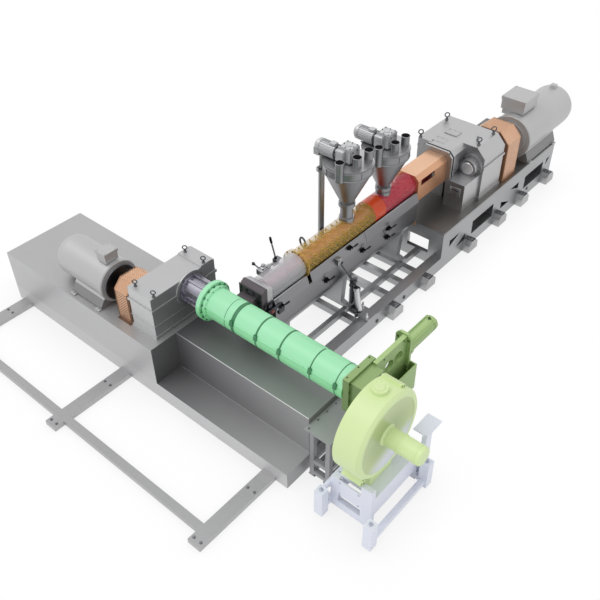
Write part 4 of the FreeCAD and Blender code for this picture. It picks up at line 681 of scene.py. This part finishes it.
barrel_green = coat("barrel_green", (168, 234, 189), (158, 228, 179), (142, 222, 163))
joint_green = metal("joint_green", (70, 142, 96), (48, 110, 70), 0.4, 30, 0.0, 0.06)
dress(barrel_green, "extruder_barrel", "extruder_end_flange", "extruder_feed_flange")
bolt_circle((-0.424, 0, BARREL_AXIS), EAST, 0.318, 16, 0.017, 0.0)
for place, width in BANDS:
    band(place, width, 0.003)
for place, width in BANDS[1:]:
    up = Vector((0, math.sin(SEAM_ANGLE), math.cos(SEAM_ANGLE)))
    bolt(on_barrel(place + 0.019, SEAM_ANGLE, 0.279, (0.031, 0.017, 0.05), 0.008) + up * 0.05, up, 0.01)
finish("barrel_joint_clamps", joint_green)
collar = [(0.262, 0), (0.3, 0), (0.306, 0.006), (0.306, 0.05), (0.3, 0.056), (0.27, 0.07), (0.262, 0.07)]
turned((-0.43, 0, BARREL_AXIS), EAST, collar, 72, True)
for start, end in zip(BARREL_JOINTS, BARREL_JOINTS[1:]):
    for angle in (SEAM_ANGLE, FAR_RIB_ANGLE):
        half = ((end - start) / 2 - 0.04, 0.009, 0.012)
        on_barrel((start + end) / 2 + 0.01, angle, BARREL_RADIUS, half, 0.003)
band(1.69, 0.082, 0.004)
finish("barrel_neck_and_seam", barrel_green)
bolt_circle((-0.374, 0, BARREL_AXIS), EAST, 0.286, 12, 0.01)
bolt_circle((2.378, 0, BARREL_AXIS), EAST, 0.235, 12, 0.01)
finish("barrel_neck_bolts", joint_green)

# The screen changer is machined steel under olive paint, its plates held by a few screws.
# Its cylinder is lighter, with two ports on top and four tie rods between its caps.
# The changer's olive and light paints carry painted shade on their side faces.
changer_olive = metal("changer_olive", (158, 183, 124), (139, 165, 107), 0.4, 20, 0.25, 0.1, (116, 142, 88))
olive_dark = metal("olive_dark", (86, 106, 58), (62, 80, 42), 0.42, 40, 0.2, 0.1)
changer_light = metal(
    "changer_light", (180, 206, 144), (166, 194, 130), 0.42, 20, 0.2, 0.1, (142, 170, 108)
)
dress(changer_olive, "screen_changer_body", "screen_changer_slide")
dress(changer_light, "screen_changer_bracket", "screen_changer_cylinder")
bolt_row((2.49, -0.222, 1.4), (2.49, -0.222, 1.94), 4, EAST, 0.012)
bolt_row((2.49, 0.365, 1.42), (2.49, 0.365, 1.9), 4, EAST, 0.012)
bolt_row((2.41, -0.18, 1.99), (2.41, 0.34, 1.99), 3, UP, 0.01)
bolt_row((2.575, 0.48, 1.94), (2.575, 0.98, 1.94), 2, EAST, 0.011)
for y, way in ((1.06, SOUTH), (1.11, NORTH)):
    bolt_grid((2.41, 2.605), (y,), (1.36, 1.9), way, 0.014)
port = [(0.026, -0.01), (0.026, 0.014), (0.018, 0.018), (0.018, 0.035), (0.01, 0.04)]
for y in (1.24, 1.8):
    turned((2.5, y, 1.773), UP, port, 20)
finish("changer_screws", olive_dark)

low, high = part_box("screen_changer_cylinder")
middle = (low + high) / 2
for start, depth in ((low.y + 0.002, 0.06), (high.y - 0.075, 0.07)):
    cap = [(0.1, 0), (0.121, 0), (0.125, 0.004), (0.125, depth - 0.004), (0.121, depth), (0.1, depth)]
    turned((middle.x, start, middle.z), NORTH, cap, 48, True)
for angle in (0.79, 2.36, 3.93, 5.5):
    offset = Vector((math.cos(angle), 0, math.sin(angle))) * 0.124
    rod = [(0.011, 0), (0.011, high.y - low.y - 0.02)]
    turned(Vector((middle.x, low.y + 0.01, middle.z)) + offset, NORTH, rod, 12)
finish("changer_cylinder_ties", changer_light)

# The stand is welded from square steel tube. Bolted foot plates carry it, and the pedestal that holds
# the changer is bolted to its top plate.
FOOT_PLATE = 0.014
# Frame and stand grey carry painted shade on their side faces.
frame_grey = metal("frame_grey", (188, 188, 189), (172, 172, 174), 0.38, 16, 1.0, 0.1, (164, 165, 166))
stand_grey = metal("stand_grey", (176, 176, 178), (158, 158, 160), 0.46, 16, 0.4, 0.1, (160, 160, 162))
dress(stand_grey, "changer_stand", "changer_pedestal")
for x in (2.155, 2.44):
    for y in (-0.6, 0.47):
        box((x - 0.06, y - 0.05, 0.0), (x + 0.06, y + 0.05, FOOT_PLATE), 0.003)
        bolt_grid((x - 0.048, x + 0.048), (y - 0.035,), (FOOT_PLATE,), UP, 0.01)
bolt_row((2.06, -0.6, 1.0), (2.06, 0.47, 1.0), 6, UP, 0.012)
finish("stand_feet", bolt_steel)

# The pelletizer's hood is pale yellow-green sheet over a cast rim, its halves bolted along the leaning
# seam. A dished front closes it, with painted shade deepening toward its middle and a painted
# reflection of the trolley's lilac on its lower side.
HOOD_AXIS = Vector((2.89, -0.4, 1.636))
SEAM_LEAN = math.radians(58.6)
hood_lime = metal("hood_lime", (218, 236, 178), (210, 230, 168), 0.4, 10, 0.0, 0.03)
lime_dark = metal("lime_dark", (166, 190, 118), (140, 164, 96), 0.42, 30, 0.0, 0.05)
dress(hood_lime, "pelletizer_hood", "pelletizer_motor", "hood_saddle")
seam_up = Vector((0, math.cos(SEAM_LEAN), math.sin(SEAM_LEAN)))
seam_out = Vector((0, -math.sin(SEAM_LEAN), math.cos(SEAM_LEAN)))
for reach in (-0.83, -0.76, 0.725):
    for side in (-0.035, 0.035):
        bolt(HOOD_AXIS + Vector((0.34, 0, 0)) + seam_up * reach + seam_out * side, EAST, 0.011)
finish("hood_bolts", lime_dark)

bolt_circle((3.07, -0.35, 2.401), UP, 0.1, 8, 0.007)
lid = [(0.075, 0), (0.078, 0.004), (0.07, 0.012), (0.03, 0.016)]
turned((3.07, -0.35, 2.4), UP, lid, 40)
hoop = [(0.14, 0), (0.151, 0), (0.153, 0.003), (0.153, 0.017), (0.151, 0.02), (0.14, 0.02)]
for station in (0.64, 0.9):
    turned(HOOD_AXIS + Vector((station, 0, 0)), EAST, hoop, 48, True)
finish("hood_lids", hood_lime)

dish = [(0.13, 0.398), (0.5, 0.408), (0.58, 0.42), (0.604, 0.429)]
back = [(0.604, 0.424), (0.58, 0.41), (0.5, 0.398), (0.13, 0.388)]
turned(HOOD_AXIS, EAST, dish + back, 96, True)
# Painted shade darkens the dished front toward its middle, and a painted reflection of the trolley's lilac
# covers its lower side.
sheen = Paint("hood_front")
place = sheen.split(sheen.place())
side, rise = place[1] - HOOD_AXIS.y, place[2] - HOOD_AXIS.z
lilac_reflection = ((side * 0.3 - rise - 0.22) * 3.6).held()
shade = 1 - ((side * side + rise * rise) * 3.2).held()
body = sheen.mix(shade * 0.8 + sheen.noise(4, 3.0) * 0.2, (192, 208, 150), (156, 176, 114))
sheen.set(Base_Color=sheen.mix(lilac_reflection, body, (214, 219, 228)), Roughness=0.3)
finish("hood_front", sheen.owner)

# The trolley is pale lilac sheet and tube. Jacking bolts stand on the corner blocks, and small screws
# hold the side panel and the table.
TABLE_TOP = 0.7
trolley_lilac = metal("trolley_lilac", (232, 235, 246), (222, 226, 240), 0.4, 10, 0.1, 0.04)
dress(trolley_lilac, "trolley_table", "trolley_frame")
jack = [(0.03, 0), (0.03, 0.02), (0.016, 0.024), (0.016, 0.05)]
for x in (2.675, 3.565):
    for y in (-1.056, 0.355):
        turned((x, y, 0.52), UP, jack, 20)
bolt_grid((2.86, 3.2), (-0.865,), (0.4, 0.655), SOUTH, 0.01)
for y in (-0.74, 0.33):
    bolt_row((2.76, y, TABLE_TOP), (3.37, y, TABLE_TOP), 5, UP, 0.01)
lilac_shade = metal("lilac_shade", (190, 194, 208), (160, 164, 180), 0.4, 30, 0.2)
finish("trolley_fittings", lilac_shade)

# The kneader's bed: long box girders in satin grey, welded portals, and anchor feet, each held by one
# bolt. Black sheets inside the girders' openings are painted shade, and plugged bores mark the flank.
BED_SIDE = 0.9
BED_BORES = ((2.757, 0.114), (3.637, 0.12), (8.515, 0.178))
ANCHORS = (3.06, 4.17, 5.77, 7.0, 8.0, 9.2)
ANCHOR_TOP = 0.25
dress(frame_grey, "bed_side_frames", "bed_cross_members", "bed_inner_rails", "bed_portals")
# The bed's top plate carries painted light on its side faces.
plate_grey = metal("plate_grey", (142, 141, 139), (122, 121, 119), 0.42, 16, 1.0, 0.1, (160, 160, 161))
dress(plate_grey, "bed_top_plate")
# Anchor feet: painted shade on their tops, in place of dark reflections, and painted light on their side
# faces.
foot_shade_and_light_steel = metal("foot_shade_and_light_steel", (120, 120, 122), (92, 92, 95), 0.4, 16, 1.0, 0.1, (188, 188, 189))
dress(foot_shade_and_light_steel, "bed_anchor_feet")
# Black sheets inside the girders' side openings are painted shade.
for hand in (-1, 1):
    box((hand * 0.68, 5.1, 0.24), (hand * 0.688, 9.52, 0.62), 0.002)
finish("bed_shade_liners", metal("shade_liner_black", (52, 52, 54), (34, 34, 36), 0.6, 20, 0.2))
collar = [(0.024, 0), (0.04, 0), (0.042, 0.003), (0.04, 0.008), (0.028, 0.008), (0.024, 0.004)]
for y, z in BED_BORES:
    for hand in (-1, 1):
        turned((hand * BED_SIDE, y, z), (hand, 0, 0), collar, 28, True)
        turned((hand * BED_SIDE, y, z), (hand, 0, 0), [(0.026, 0.001), (0.02, 0.004)], 28)
finish("bed_bores", dark_steel)
for place in ANCHORS:
    for x in (-0.98, 0.98):
        bolt((x, place + 0.165, ANCHOR_TOP), UP, 0.03)
        box((x - 0.05, place + 0.1, ANCHOR_TOP), (x + 0.05, place + 0.23, ANCHOR_TOP + 0.012), 0.003)
for y in (4.96, 5.5, 9.0, 9.54):
    bolt_row((-0.84, y, BED_TOP), (0.84, y, BED_TOP), 3, UP, 0.012)
finish("bed_bolts", bolt_steel)

# The screw and the teeth that comb it are polished steel, the screw with a pink cast. Teeth behind a
# coloured sleeve take its tint, and rows of brass heating pins stand in the amber sleeve's wall.
KNEADER_AXIS = 1.755
dress(metal("screw_steel", (238, 150, 156), (220, 118, 128), 0.3, 20, 0.35), "kneader_screw")
ZONE_TONES = ((1.5, (226, 194, 100)), (3.48, (238, 112, 60)), (3.8, (206, 66, 84)))
teeth = Paint("tooth_steel")
colour = (214, 212, 217)
for start, zone_tone in ZONE_TONES:
    colour = teeth.mix(teeth.split(teeth.place())[1] > start, colour, zone_tone)
teeth.set(Base_Color=colour, Roughness=0.32, Metallic=0.2)
dress(teeth.owner, "kneading_teeth")

PIN_ROWS = 26
PINS_AROUND = 8
pin = [(0, 0), (0.007, 0.004), (0.007, 0.048), (0, 0.052)]
for row in range(PIN_ROWS):
    station = 1.6 + 1.84 * row / (PIN_ROWS - 1)
    for step in range(PINS_AROUND):
        angle = math.tau * (step + row % 2 / 2) / PINS_AROUND
        out = Vector((math.sin(angle), 0, math.cos(angle)))
        turned(Vector((0, station, KNEADER_AXIS)) + out * 0.176, out, pin, 5)
finish("heating_pins", metal("pin_brass", (206, 172, 76), (164, 130, 48), 0.3, 30, 0.3))


# The barrel's four zones are see-through sleeves: clear, amber, orange and red. Fine rings are turned
# into them, and each carries painted shade below its axis, where it also grows less clear.
def tinted(name, light, dark, shade_tone, cover, ribs, depth):
    """A see-through sleeve with turned rings, its lower half in painted shade and less clear."""
    paint = Paint(name)
    place = paint.split(paint.place())
    # Painted shade: below the axis each sleeve turns to its shade tone and grows less clear.
    shade_below = ((KNEADER_AXIS + 0.05 - place[2]) * 6).held()
    groove = abs((place[1] / ribs) % 1.0 - 0.5) < 0.16
    colour = paint.mix(shade_below, paint.mix(paint.noise(9, 4.0), dark, light), shade_tone)
    paint.set(
        Base_Color=colour,
        Roughness=0.16,
        Alpha=cover + 0.05 * groove + depth * shade_below,
        Normal=paint.bump(groove, 0.12, 0.003),
    )
    return paint.owner


for node, *look in (
    ("kneader_zone_outlet", "clear_zone", (226, 226, 231), (206, 206, 212), (206, 206, 210),
     0.42, 0.05, 0.3),
    ("kneader_zone_heating", "amber_zone", (230, 194, 104), (196, 160, 58), (158, 122, 44),
     0.3, 0.033, 0.32),
    ("kneader_zone_ring", "orange_zone", (240, 88, 34), (222, 68, 20), (190, 56, 18),
     0.74, 0.04, 0.22),
    ("kneader_zone_feed", "red_zone", (222, 80, 96), (206, 44, 66), (140, 36, 52),
     0.54, 0.045, 0.22),
):
    dress(tinted(*look), node)

bolt_circle((0, 1.5, KNEADER_AXIS), SOUTH, 0.258, 12, 0.012)
amber_bolts = metal("amber_bolts", (150, 120, 56), (112, 86, 34), 0.4, 40)
finish("heating_flange_bolts", amber_bolts)

# The discharge head is a light cast block behind a dark cover plate, bolted over the extruder's side
# inlet. An outlet valve with a hooked spindle lies on its shoulder, and a slide gate on its flank.
HEAD_FACE = 0.385
head_grey = Paint("head_grey")
ahead = head_grey.split(head_grey.place())[1] < 0.53
cloud = head_grey.noise(26, 5.0)
block = head_grey.mix(cloud, (184, 182, 186), (208, 206, 208))
head_grey.set(Base_Color=head_grey.mix(ahead, block, (84, 78, 82)), Roughness=0.42, Metallic=0.5)
head_steel = metal("head_steel", (84, 78, 82), (58, 54, 58), 0.5, 26, 0.3)
dress(head_grey.owner, "discharge_head")
box((-0.25, HEAD_FACE, 1.46), (0.25, 0.401, 1.95), 0.006)
finish("head_plate", head_steel)
bolt_grid((-0.2, -0.07, 0.07, 0.2), (HEAD_FACE,), (1.89,), SOUTH, 0.02)
bolt_grid((-0.2, 0.2), (HEAD_FACE,), (1.52, 1.65, 1.78), SOUTH, 0.02)
bolt_circle((0, HEAD_FACE, KNEADER_AXIS), SOUTH, 0.1, 6, 0.013)
cover = [(0.135, -0.01), (0.135, 0.012), (0.125, 0.02), (0.07, 0.024), (0.06, 0.05)]
turned((0, HEAD_FACE, KNEADER_AXIS), SOUTH, cover, 40)
finish("head_bolts", dark_steel)

box((-0.235, 0.78, 1.88), (-0.1, 0.98, 1.99), 0.01)
bonnet = [(0.05, 0), (0.05, 0.02), (0.03, 0.03), (0.03, 0.07)]
turned((-0.17, 0.88, 1.985), UP, bonnet, 24)
nozzle = [(0.036, -0.02), (0.036, 0.05), (0.02, 0.06), (0.02, 0.14)]
turned((-0.17, 0.99, 1.94), NORTH, nozzle, 24)
finish("outlet_valve_body", frame_grey)
spindle = [(0.012, 0), (0.012, 0.12), (0.03, 0.125), (0.03, 0.15)]
turned((-0.235, 0.86, 1.95), (-1, 0, 0.25), spindle, 16)
ring((-0.36, 0.86, 1.985), (0, 1, 0.3), 0.03, 0.009, 24)
bolt_circle((-0.17, 0.88, 1.99), UP, 0.065, 4, 0.009)
finish("outlet_valve_spindle", dark_steel)

box((0.24, 0.43, 1.46), (0.262, 0.64, 1.68), 0.004)
box((0.262, 0.47, 1.5), (0.33, 0.6, 1.58), 0.01)
box((0.262, 0.49, 1.6), (0.3, 0.58, 1.665), 0.008)
turned((0.3, 0.6, 1.54), NORTH, [(0.032, 0), (0.032, 0.16), (0.02, 0.17), (0.02, 0.2)], 24)
box((0.3, 0.7, 1.36), (0.33, 0.84, 1.5), 0.006)
bolt_grid((0.262,), (0.45, 0.62), (1.48, 1.66), EAST, 0.014)
finish("slide_gate", dark_steel)
box((0.33, 0.5, 1.515), (0.348, 0.575, 1.565), 0.005)
finish("slide_gate_cover", metal("rust_red", (160, 84, 72), (120, 58, 50), 0.5, 40, 0.2))

# The trough under the barrel is folded sheet with a turned-in lip. Toggle clamps along both flanks hold
# its cover strips, and bolts fix its legs and saddles.
TOGGLES = (
    (0.755, 1.521, 0.308), (1.959, 1.292, 0.3), (2.628, 1.605, 0.282),
    (2.999, 1.343, 0.3), (3.803, 1.39, 0.3), (3.776, 1.2, 0.3),
)
TOGGLE_GRIP = [(0, -0.05), (0.015, -0.046), (0.018, 0), (0.015, 0.046), (0, 0.05)]
COVER_PROFILE = ((0.322, 1.466), (0.322, 1.484), (0.262, 1.655), (0.244, 1.662))
# The trough's steel carries painted shade on its side faces.
trough_steel = metal("trough_steel", (190, 190, 192), (170, 170, 172), 0.34, 16, 1.0, 0.08, (126, 126, 129))
dress(trough_steel, "kneader_trough")
dress(frame_grey, "barrel_saddles", "trough_legs")


def toggle(hand, y, z, reach):
    """A toggle clamp: base, swinging lever on a pin, and a T-shaped grip."""
    face = reach * hand
    box((face, y - 0.05, z - 0.04), (face + hand * 0.012, y + 0.05, z + 0.04), 0.003)
    for side in (y - 0.03, y + 0.03):
        box((face, side - 0.006, z - 0.026), (face + hand * 0.06, side + 0.006, z + 0.03), 0.003)
    hinge = Vector((face + hand * 0.042, y, z))
    swing = Vector((hand * 0.45, 0.35, 0.5)).normalized()
    turned(hinge - Vector((0, 0.05, 0)), NORTH, [(0.012, 0), (0.012, 0.1)], 16)
    turned(hinge, swing, [(0.011, 0), (0.009, 0.12)], 12)
    turned(hinge + swing * 0.12, NORTH, TOGGLE_GRIP, 14)


for y, z, reach in TOGGLES:
    for hand in (-1, 1):
        toggle(hand, y, z, reach)
finish("trough_toggles", metal("clamp_black", (58, 58, 62), (34, 34, 38), 0.4, 60))

bolt_grid((-0.33, 0.33), (0.96, 2.56, 4.36), (0.345,), UP, 0.016)
bolt_grid((-0.25, 0.25), (0.94, 2.54, 4.34), (1.51,), UP, 0.012)
finish("trough_bolts", bolt_steel)

# Folded cover strips close the gap between the trough's lips and the barrel, in three lengths a side.
for start, end in ((0.66, 1.49), (1.57, 3.1), (3.108, 4.78)):
    for hand in (-1, 1):
        drawn([(hand * x, start, z) for x, z in COVER_PROFILE], (0, end - start, 0))
bmesh.ops.recalc_face_normals(form, faces=form.faces)
bmesh.ops.solidify(form, geom=form.faces[:], thickness=0.005)
finish("trough_covers", trough_steel)

# The lantern guard is plain copper-coloured sheet. A dark red shroud round the shaft shows
# through its window, and screws hold its front plate and the window's frame.
dress(copper_plain, "kneader_lantern_guard")
sleeve = [(0.1, 0), (0.135, 0), (0.135, 0.02), (0.122, 0.03)]
sleeve += [(0.122, 0.86), (0.135, 0.87), (0.135, 0.9), (0.1, 0.9)]
turned((0, 4.86, KNEADER_AXIS), NORTH, sleeve, 48, True)
for station in (5.0, 5.2, 5.4, 5.6):
    ring((0, station, KNEADER_AXIS), NORTH, 0.125, 0.012, 40)
box((-0.02, 4.9, 1.46), (0.02, 5.7, 1.64), 0.006)
finish("shaft_shroud", metal("shroud_red", (172, 26, 40), (110, 8, 20), 0.4, 20, 0.2))
bolt_grid((-0.25, 0.25), (4.79,), (1.0, 1.25, 1.5), SOUTH, 0.01)
for x, way in ((0.27, EAST), (-0.27, WEST)):
    bolt_grid((x,), (4.86, 5.3, 5.74), (1.5,), way, 0.008)
finish("lantern_guard_trim", copper_plain)

# The hoppers, lids, drives and necks are brushed stainless sheet. Rolled rims close the drums, bands
# and lugs mark the seams, and the inlets are open mouths whose dark insides are painted shade on black
# discs.
HOPPERS = ((2.89, 0.0), (3.99, 0.205))
INLET_LIP = [(0.07, 0), (0.079, 0), (0.083, 0.004), (0.079, 0.008), (0.07, 0.008)]
INLETS = ((0.252, -0.095), (0.251, 0.222), (0.131, -0.412))
# Hopper steel carries painted shade on its side faces.
hopper_steel = metal("hopper_steel", (200, 200, 201), (178, 178, 180), 0.36, 40, 1.0, 0.1, (128, 128, 131))
# Black for the lever's grip sleeve, and painted shade for the inlets' dark insides.
black_grip_and_mouth_shade = metal("black_grip_and_mouth_shade", (10, 10, 11), (4, 4, 5), 0.9, 20, 0.0)
black_grip_and_mouth_shade.node_tree.nodes["Principled BSDF"].inputs["Specular IOR Level"].default_value = 0.1
dress(hopper_steel, "hoppers", "hopper_lids", "feed_necks")
# Drive grey carries painted shade on its side faces.
drive_grey = metal("drive_grey", (212, 213, 214), (196, 197, 198), 0.42, 40, 0.6, 0.1, (176, 176, 178))
dress(drive_grey, "hopper_drives")
for place, drop in HOPPERS:
    for height, inner, depth in ((2.98, 0.426, 0.02), (3.128, 0.428, 0.014)):
        rim = [(inner, 0), (inner + 0.014, 0), (inner + 0.018, depth / 2)]
        turned((0, place, height - drop), UP, rim + [(inner + 0.014, depth), (inner, depth)], 72, True)
    for angle in (25, 70, 115, 160, 205, 250, 340):
        lean = math.radians(angle)
        spot = Vector((math.cos(lean) * 0.431, place + math.sin(lean) * 0.431, 3.065 - drop))
        half = Vector((0.009, 0.009, 0.07))
        box(spot - half, spot + half, 0.004, 2, Matrix.Rotation(lean, 4, "Z"))
    bolt_circle((0, place, 2.33 - drop), UP, 0.134, 8, 0.01)
    bolt_circle((0, place, 2.26 - drop), DOWN, 0.134, 8, 0.01)
    for u, v in INLETS:
        turned((u, place + v, 3.344 - drop), UP, INLET_LIP, 32, True)
    bolt_circle((0, place, 2.0), UP, 0.127, 8, 0.008)
finish("hopper_rims", hopper_steel)
# Black discs inside the inlets are painted shade.
for place, drop in HOPPERS:
    for u, v in INLETS:
        turned((u, place + v, 3.342 - drop), UP, [(0.074, 0), (0.074, 0.0115)], 32)
finish("inlet_painted_shade", black_grip_and_mouth_shade)

# Each stirrer drive is a finned motor on a worm gearbox. The gearbox lid is screwed on, a dark flange
# joins the two, and a small terminal box sits on the motor.
DRIVE_BASE = 3.16
DRIVE_RISE = 0.13
LID_RISE = 0.282
cowl = [(0.1, 0), (0.131, 0), (0.134, 0.004), (0.134, 0.05), (0.128, 0.06), (0.1, 0.06)]
hub = [(0.05, 0), (0.056, 0.004), (0.05, 0.012), (0.02, 0.016)]
rear = [(0.055, -0.01), (0.055, 0.03), (0.02, 0.036), (0.02, 0.09)]
flange = [(0.09, 0), (0.128, 0), (0.132, 0.005), (0.132, 0.02), (0.128, 0.025), (0.09, 0.025)]
for place, drop in HOPPERS:
    base = DRIVE_BASE - drop
    axis = Vector((0, place - 0.09, base + DRIVE_RISE))
    for step in range(22):
        angle = math.tau * step / 22
        if -0.85 < math.sin(angle) < 0.99:
            spoke = Matrix.Translation(axis) @ Matrix.Rotation(angle, 4, "X")
            thin = Matrix.Translation((-0.36, 0.124, 0)) @ Matrix.Diagonal((0.34, 0.022, 0.006, 1))
            bmesh.ops.create_cube(form, size=1, matrix=spoke @ thin)
    box((-0.3, place - 0.15, axis.z + 0.1), (-0.19, place - 0.04, axis.z + 0.16), 0.008)
    box((-0.15, place - 0.2, base + 0.02), (0.03, place - 0.02, base + 0.24), 0.03, 4)
    turned(axis + Vector((-0.555, 0, 0)), EAST, cowl, 48, True)
    box((-0.118, place - 0.118, base + 0.27), (0.118, place + 0.118, base + LID_RISE), 0.004)
    turned((0, place, base + LID_RISE), UP, hub, 32)
    turned((0.02, place + 0.13, base + 0.15), NORTH, rear, 24)
finish("drive_fins", drive_grey)
for place, drop in HOPPERS:
    base = DRIVE_BASE - drop
    axis = Vector((0, place - 0.09, base + DRIVE_RISE))
    turned(axis + Vector((-0.175, 0, 0)), EAST, flange, 48, True)
    bolt_circle(axis + Vector((-0.15, 0, 0)), EAST, 0.112, 8, 0.009)
    bolt_grid((-0.1, 0, 0.1), (place - 0.1, place + 0.1), (base + LID_RISE,), UP, 0.009)
    bolt_grid((-0.1, 0.1), (place,), (base + LID_RISE,), UP, 0.009)
    box((-0.142, place - 0.142, base + 0.002), (0.142, place + 0.142, base + 0.022), 0.004)
    box((-0.42, place - 0.2, base + 0.001), (-0.12, place - 0.17, base + 0.018), 0.004)
    bolt_grid((0.13,), (place - 0.06, place + 0.06), (base + 0.06, base + 0.21), EAST, 0.01)
finish("drive_flanges", dark_steel)

# The post that carries the first drive is drawn tube on a foot plate, with a bolted collar where the
# slimmer upper tube enters, and a hoop for the cables lower down on the barrel's far side.
POST = (-0.54, 2.84)
PLATE_TOP = 0.325
dress(frame_grey, "feeder_post")
bolt_circle((*POST, 2.82), UP, 0.075, 6, 0.009)
bolt_circle((*POST, PLATE_TOP), UP, 0.1, 6, 0.014)
turned((*POST, PLATE_TOP), UP, [(0.056, 0), (0.085, 0), (0.06, 0.05), (0.056, 0.05)], 40, True)
finish("post_fittings", bolt_steel)
collar = [(0.04, 0), (0.06, 0), (0.06, 0.03), (0.048, 0.04), (0.04, 0.04)]
turned((*POST, 2.822), UP, collar, 32, True)
ring((-0.29, 2.03, 1.79), (0.3, 1, 0), 0.09, 0.018, 36)
finish("post_collar_and_hoop", dark_steel)

# The outlet lever is a steel bar with a black sleeve for a grip, in a wedge-shaped socket.
dress(bolt_steel, "outlet_lever")
LEVER_LEAN = math.radians(13)
lever = Vector((0, -math.sin(LEVER_LEAN), math.cos(LEVER_LEAN)))
foot = Vector((-0.2425, 1.28, 1.87))
grip = [(0, 0.43), (0.019, 0.434), (0.021, 0.45), (0.021, 0.545), (0.017, 0.56)]
turned(foot, lever, grip, 24)
turned(foot, lever, [(0.013, 0.06), (0.026, 0.06), (0.026, 0.075), (0.013, 0.08)], 20, True)
finish("lever_grip", black_grip_and_mouth_shade)

# The valve unit stands on its bracket beside the trough. A bright actuator leans out, and a
# dark strut runs up to a socket on the trough's lip.
dress(frame_grey, "valve_unit")


def bar(start, end, profile, steps=24):
    """A turned bar from one point to another; heights in its profile are shares of the length."""
    start, end = Vector(start), Vector(end)
    length = (end - start).length
    turned(start, end - start, [(radius, share * length) for radius, share in profile], steps)


strut = [(0.013, 0), (0.013, 0.75), (0.026, 0.76), (0.026, 1)]
bar((0.33, 2.27, 1.54), (0.47, 2.53, 1.0), strut, 16)
box((0.42, 2.49, 0.95), (0.52, 2.6, 1.015), 0.01)
bar((0.47, 2.5, 0.98), (0.47, 2.5, 0.5), [(0.03, 0), (0.03, 1)])
box((0.52, 2.47, 0.84), (0.62, 2.57, 0.91), 0.01)
box((0.5, 2.44, 0.4), (0.72, 2.53, 0.46), 0.01)
bar((0.66, 2.42, 0.5), (0.66, 2.42, 0.33), [(0.02, 0), (0.02, 0.5), (0.035, 0.55), (0.035, 1)])
bolt((0.4, 2.27, 1.54), EAST, 0.02)
bolt_grid((0.44, 0.5), (2.525,), (0.62, 0.74), SOUTH, 0.012)
ring((0.47, 2.55, 0.86), (0.4, 0.2, 1), 0.075, 0.012, 32)
finish("valve_strut", dark_steel)
box((0.28, 2.22, 1.46), (0.36, 2.32, 1.6), 0.008)
finish("strut_socket", frame_grey)
tube = [(0.05, 0), (0.054, 0.02), (0.054, 0.12), (0.048, 0.14)]
tube += [(radius, 1 - share) for radius, share in reversed(tube)]
bar((0.57, 2.5, 0.9), (0.68, 2.49, 0.44), tube, 32)
stub = [(0.03, 0), (0.03, 0.05), (0.018, 0.06), (0.018, 0.12)]
for x, y in ((0.6, 2.7), (0.84, 2.5)):
    turned((x, y, PLATE_TOP), UP, stub, 20)
finish("valve_actuator", bright_grey)

low, high = cad_box
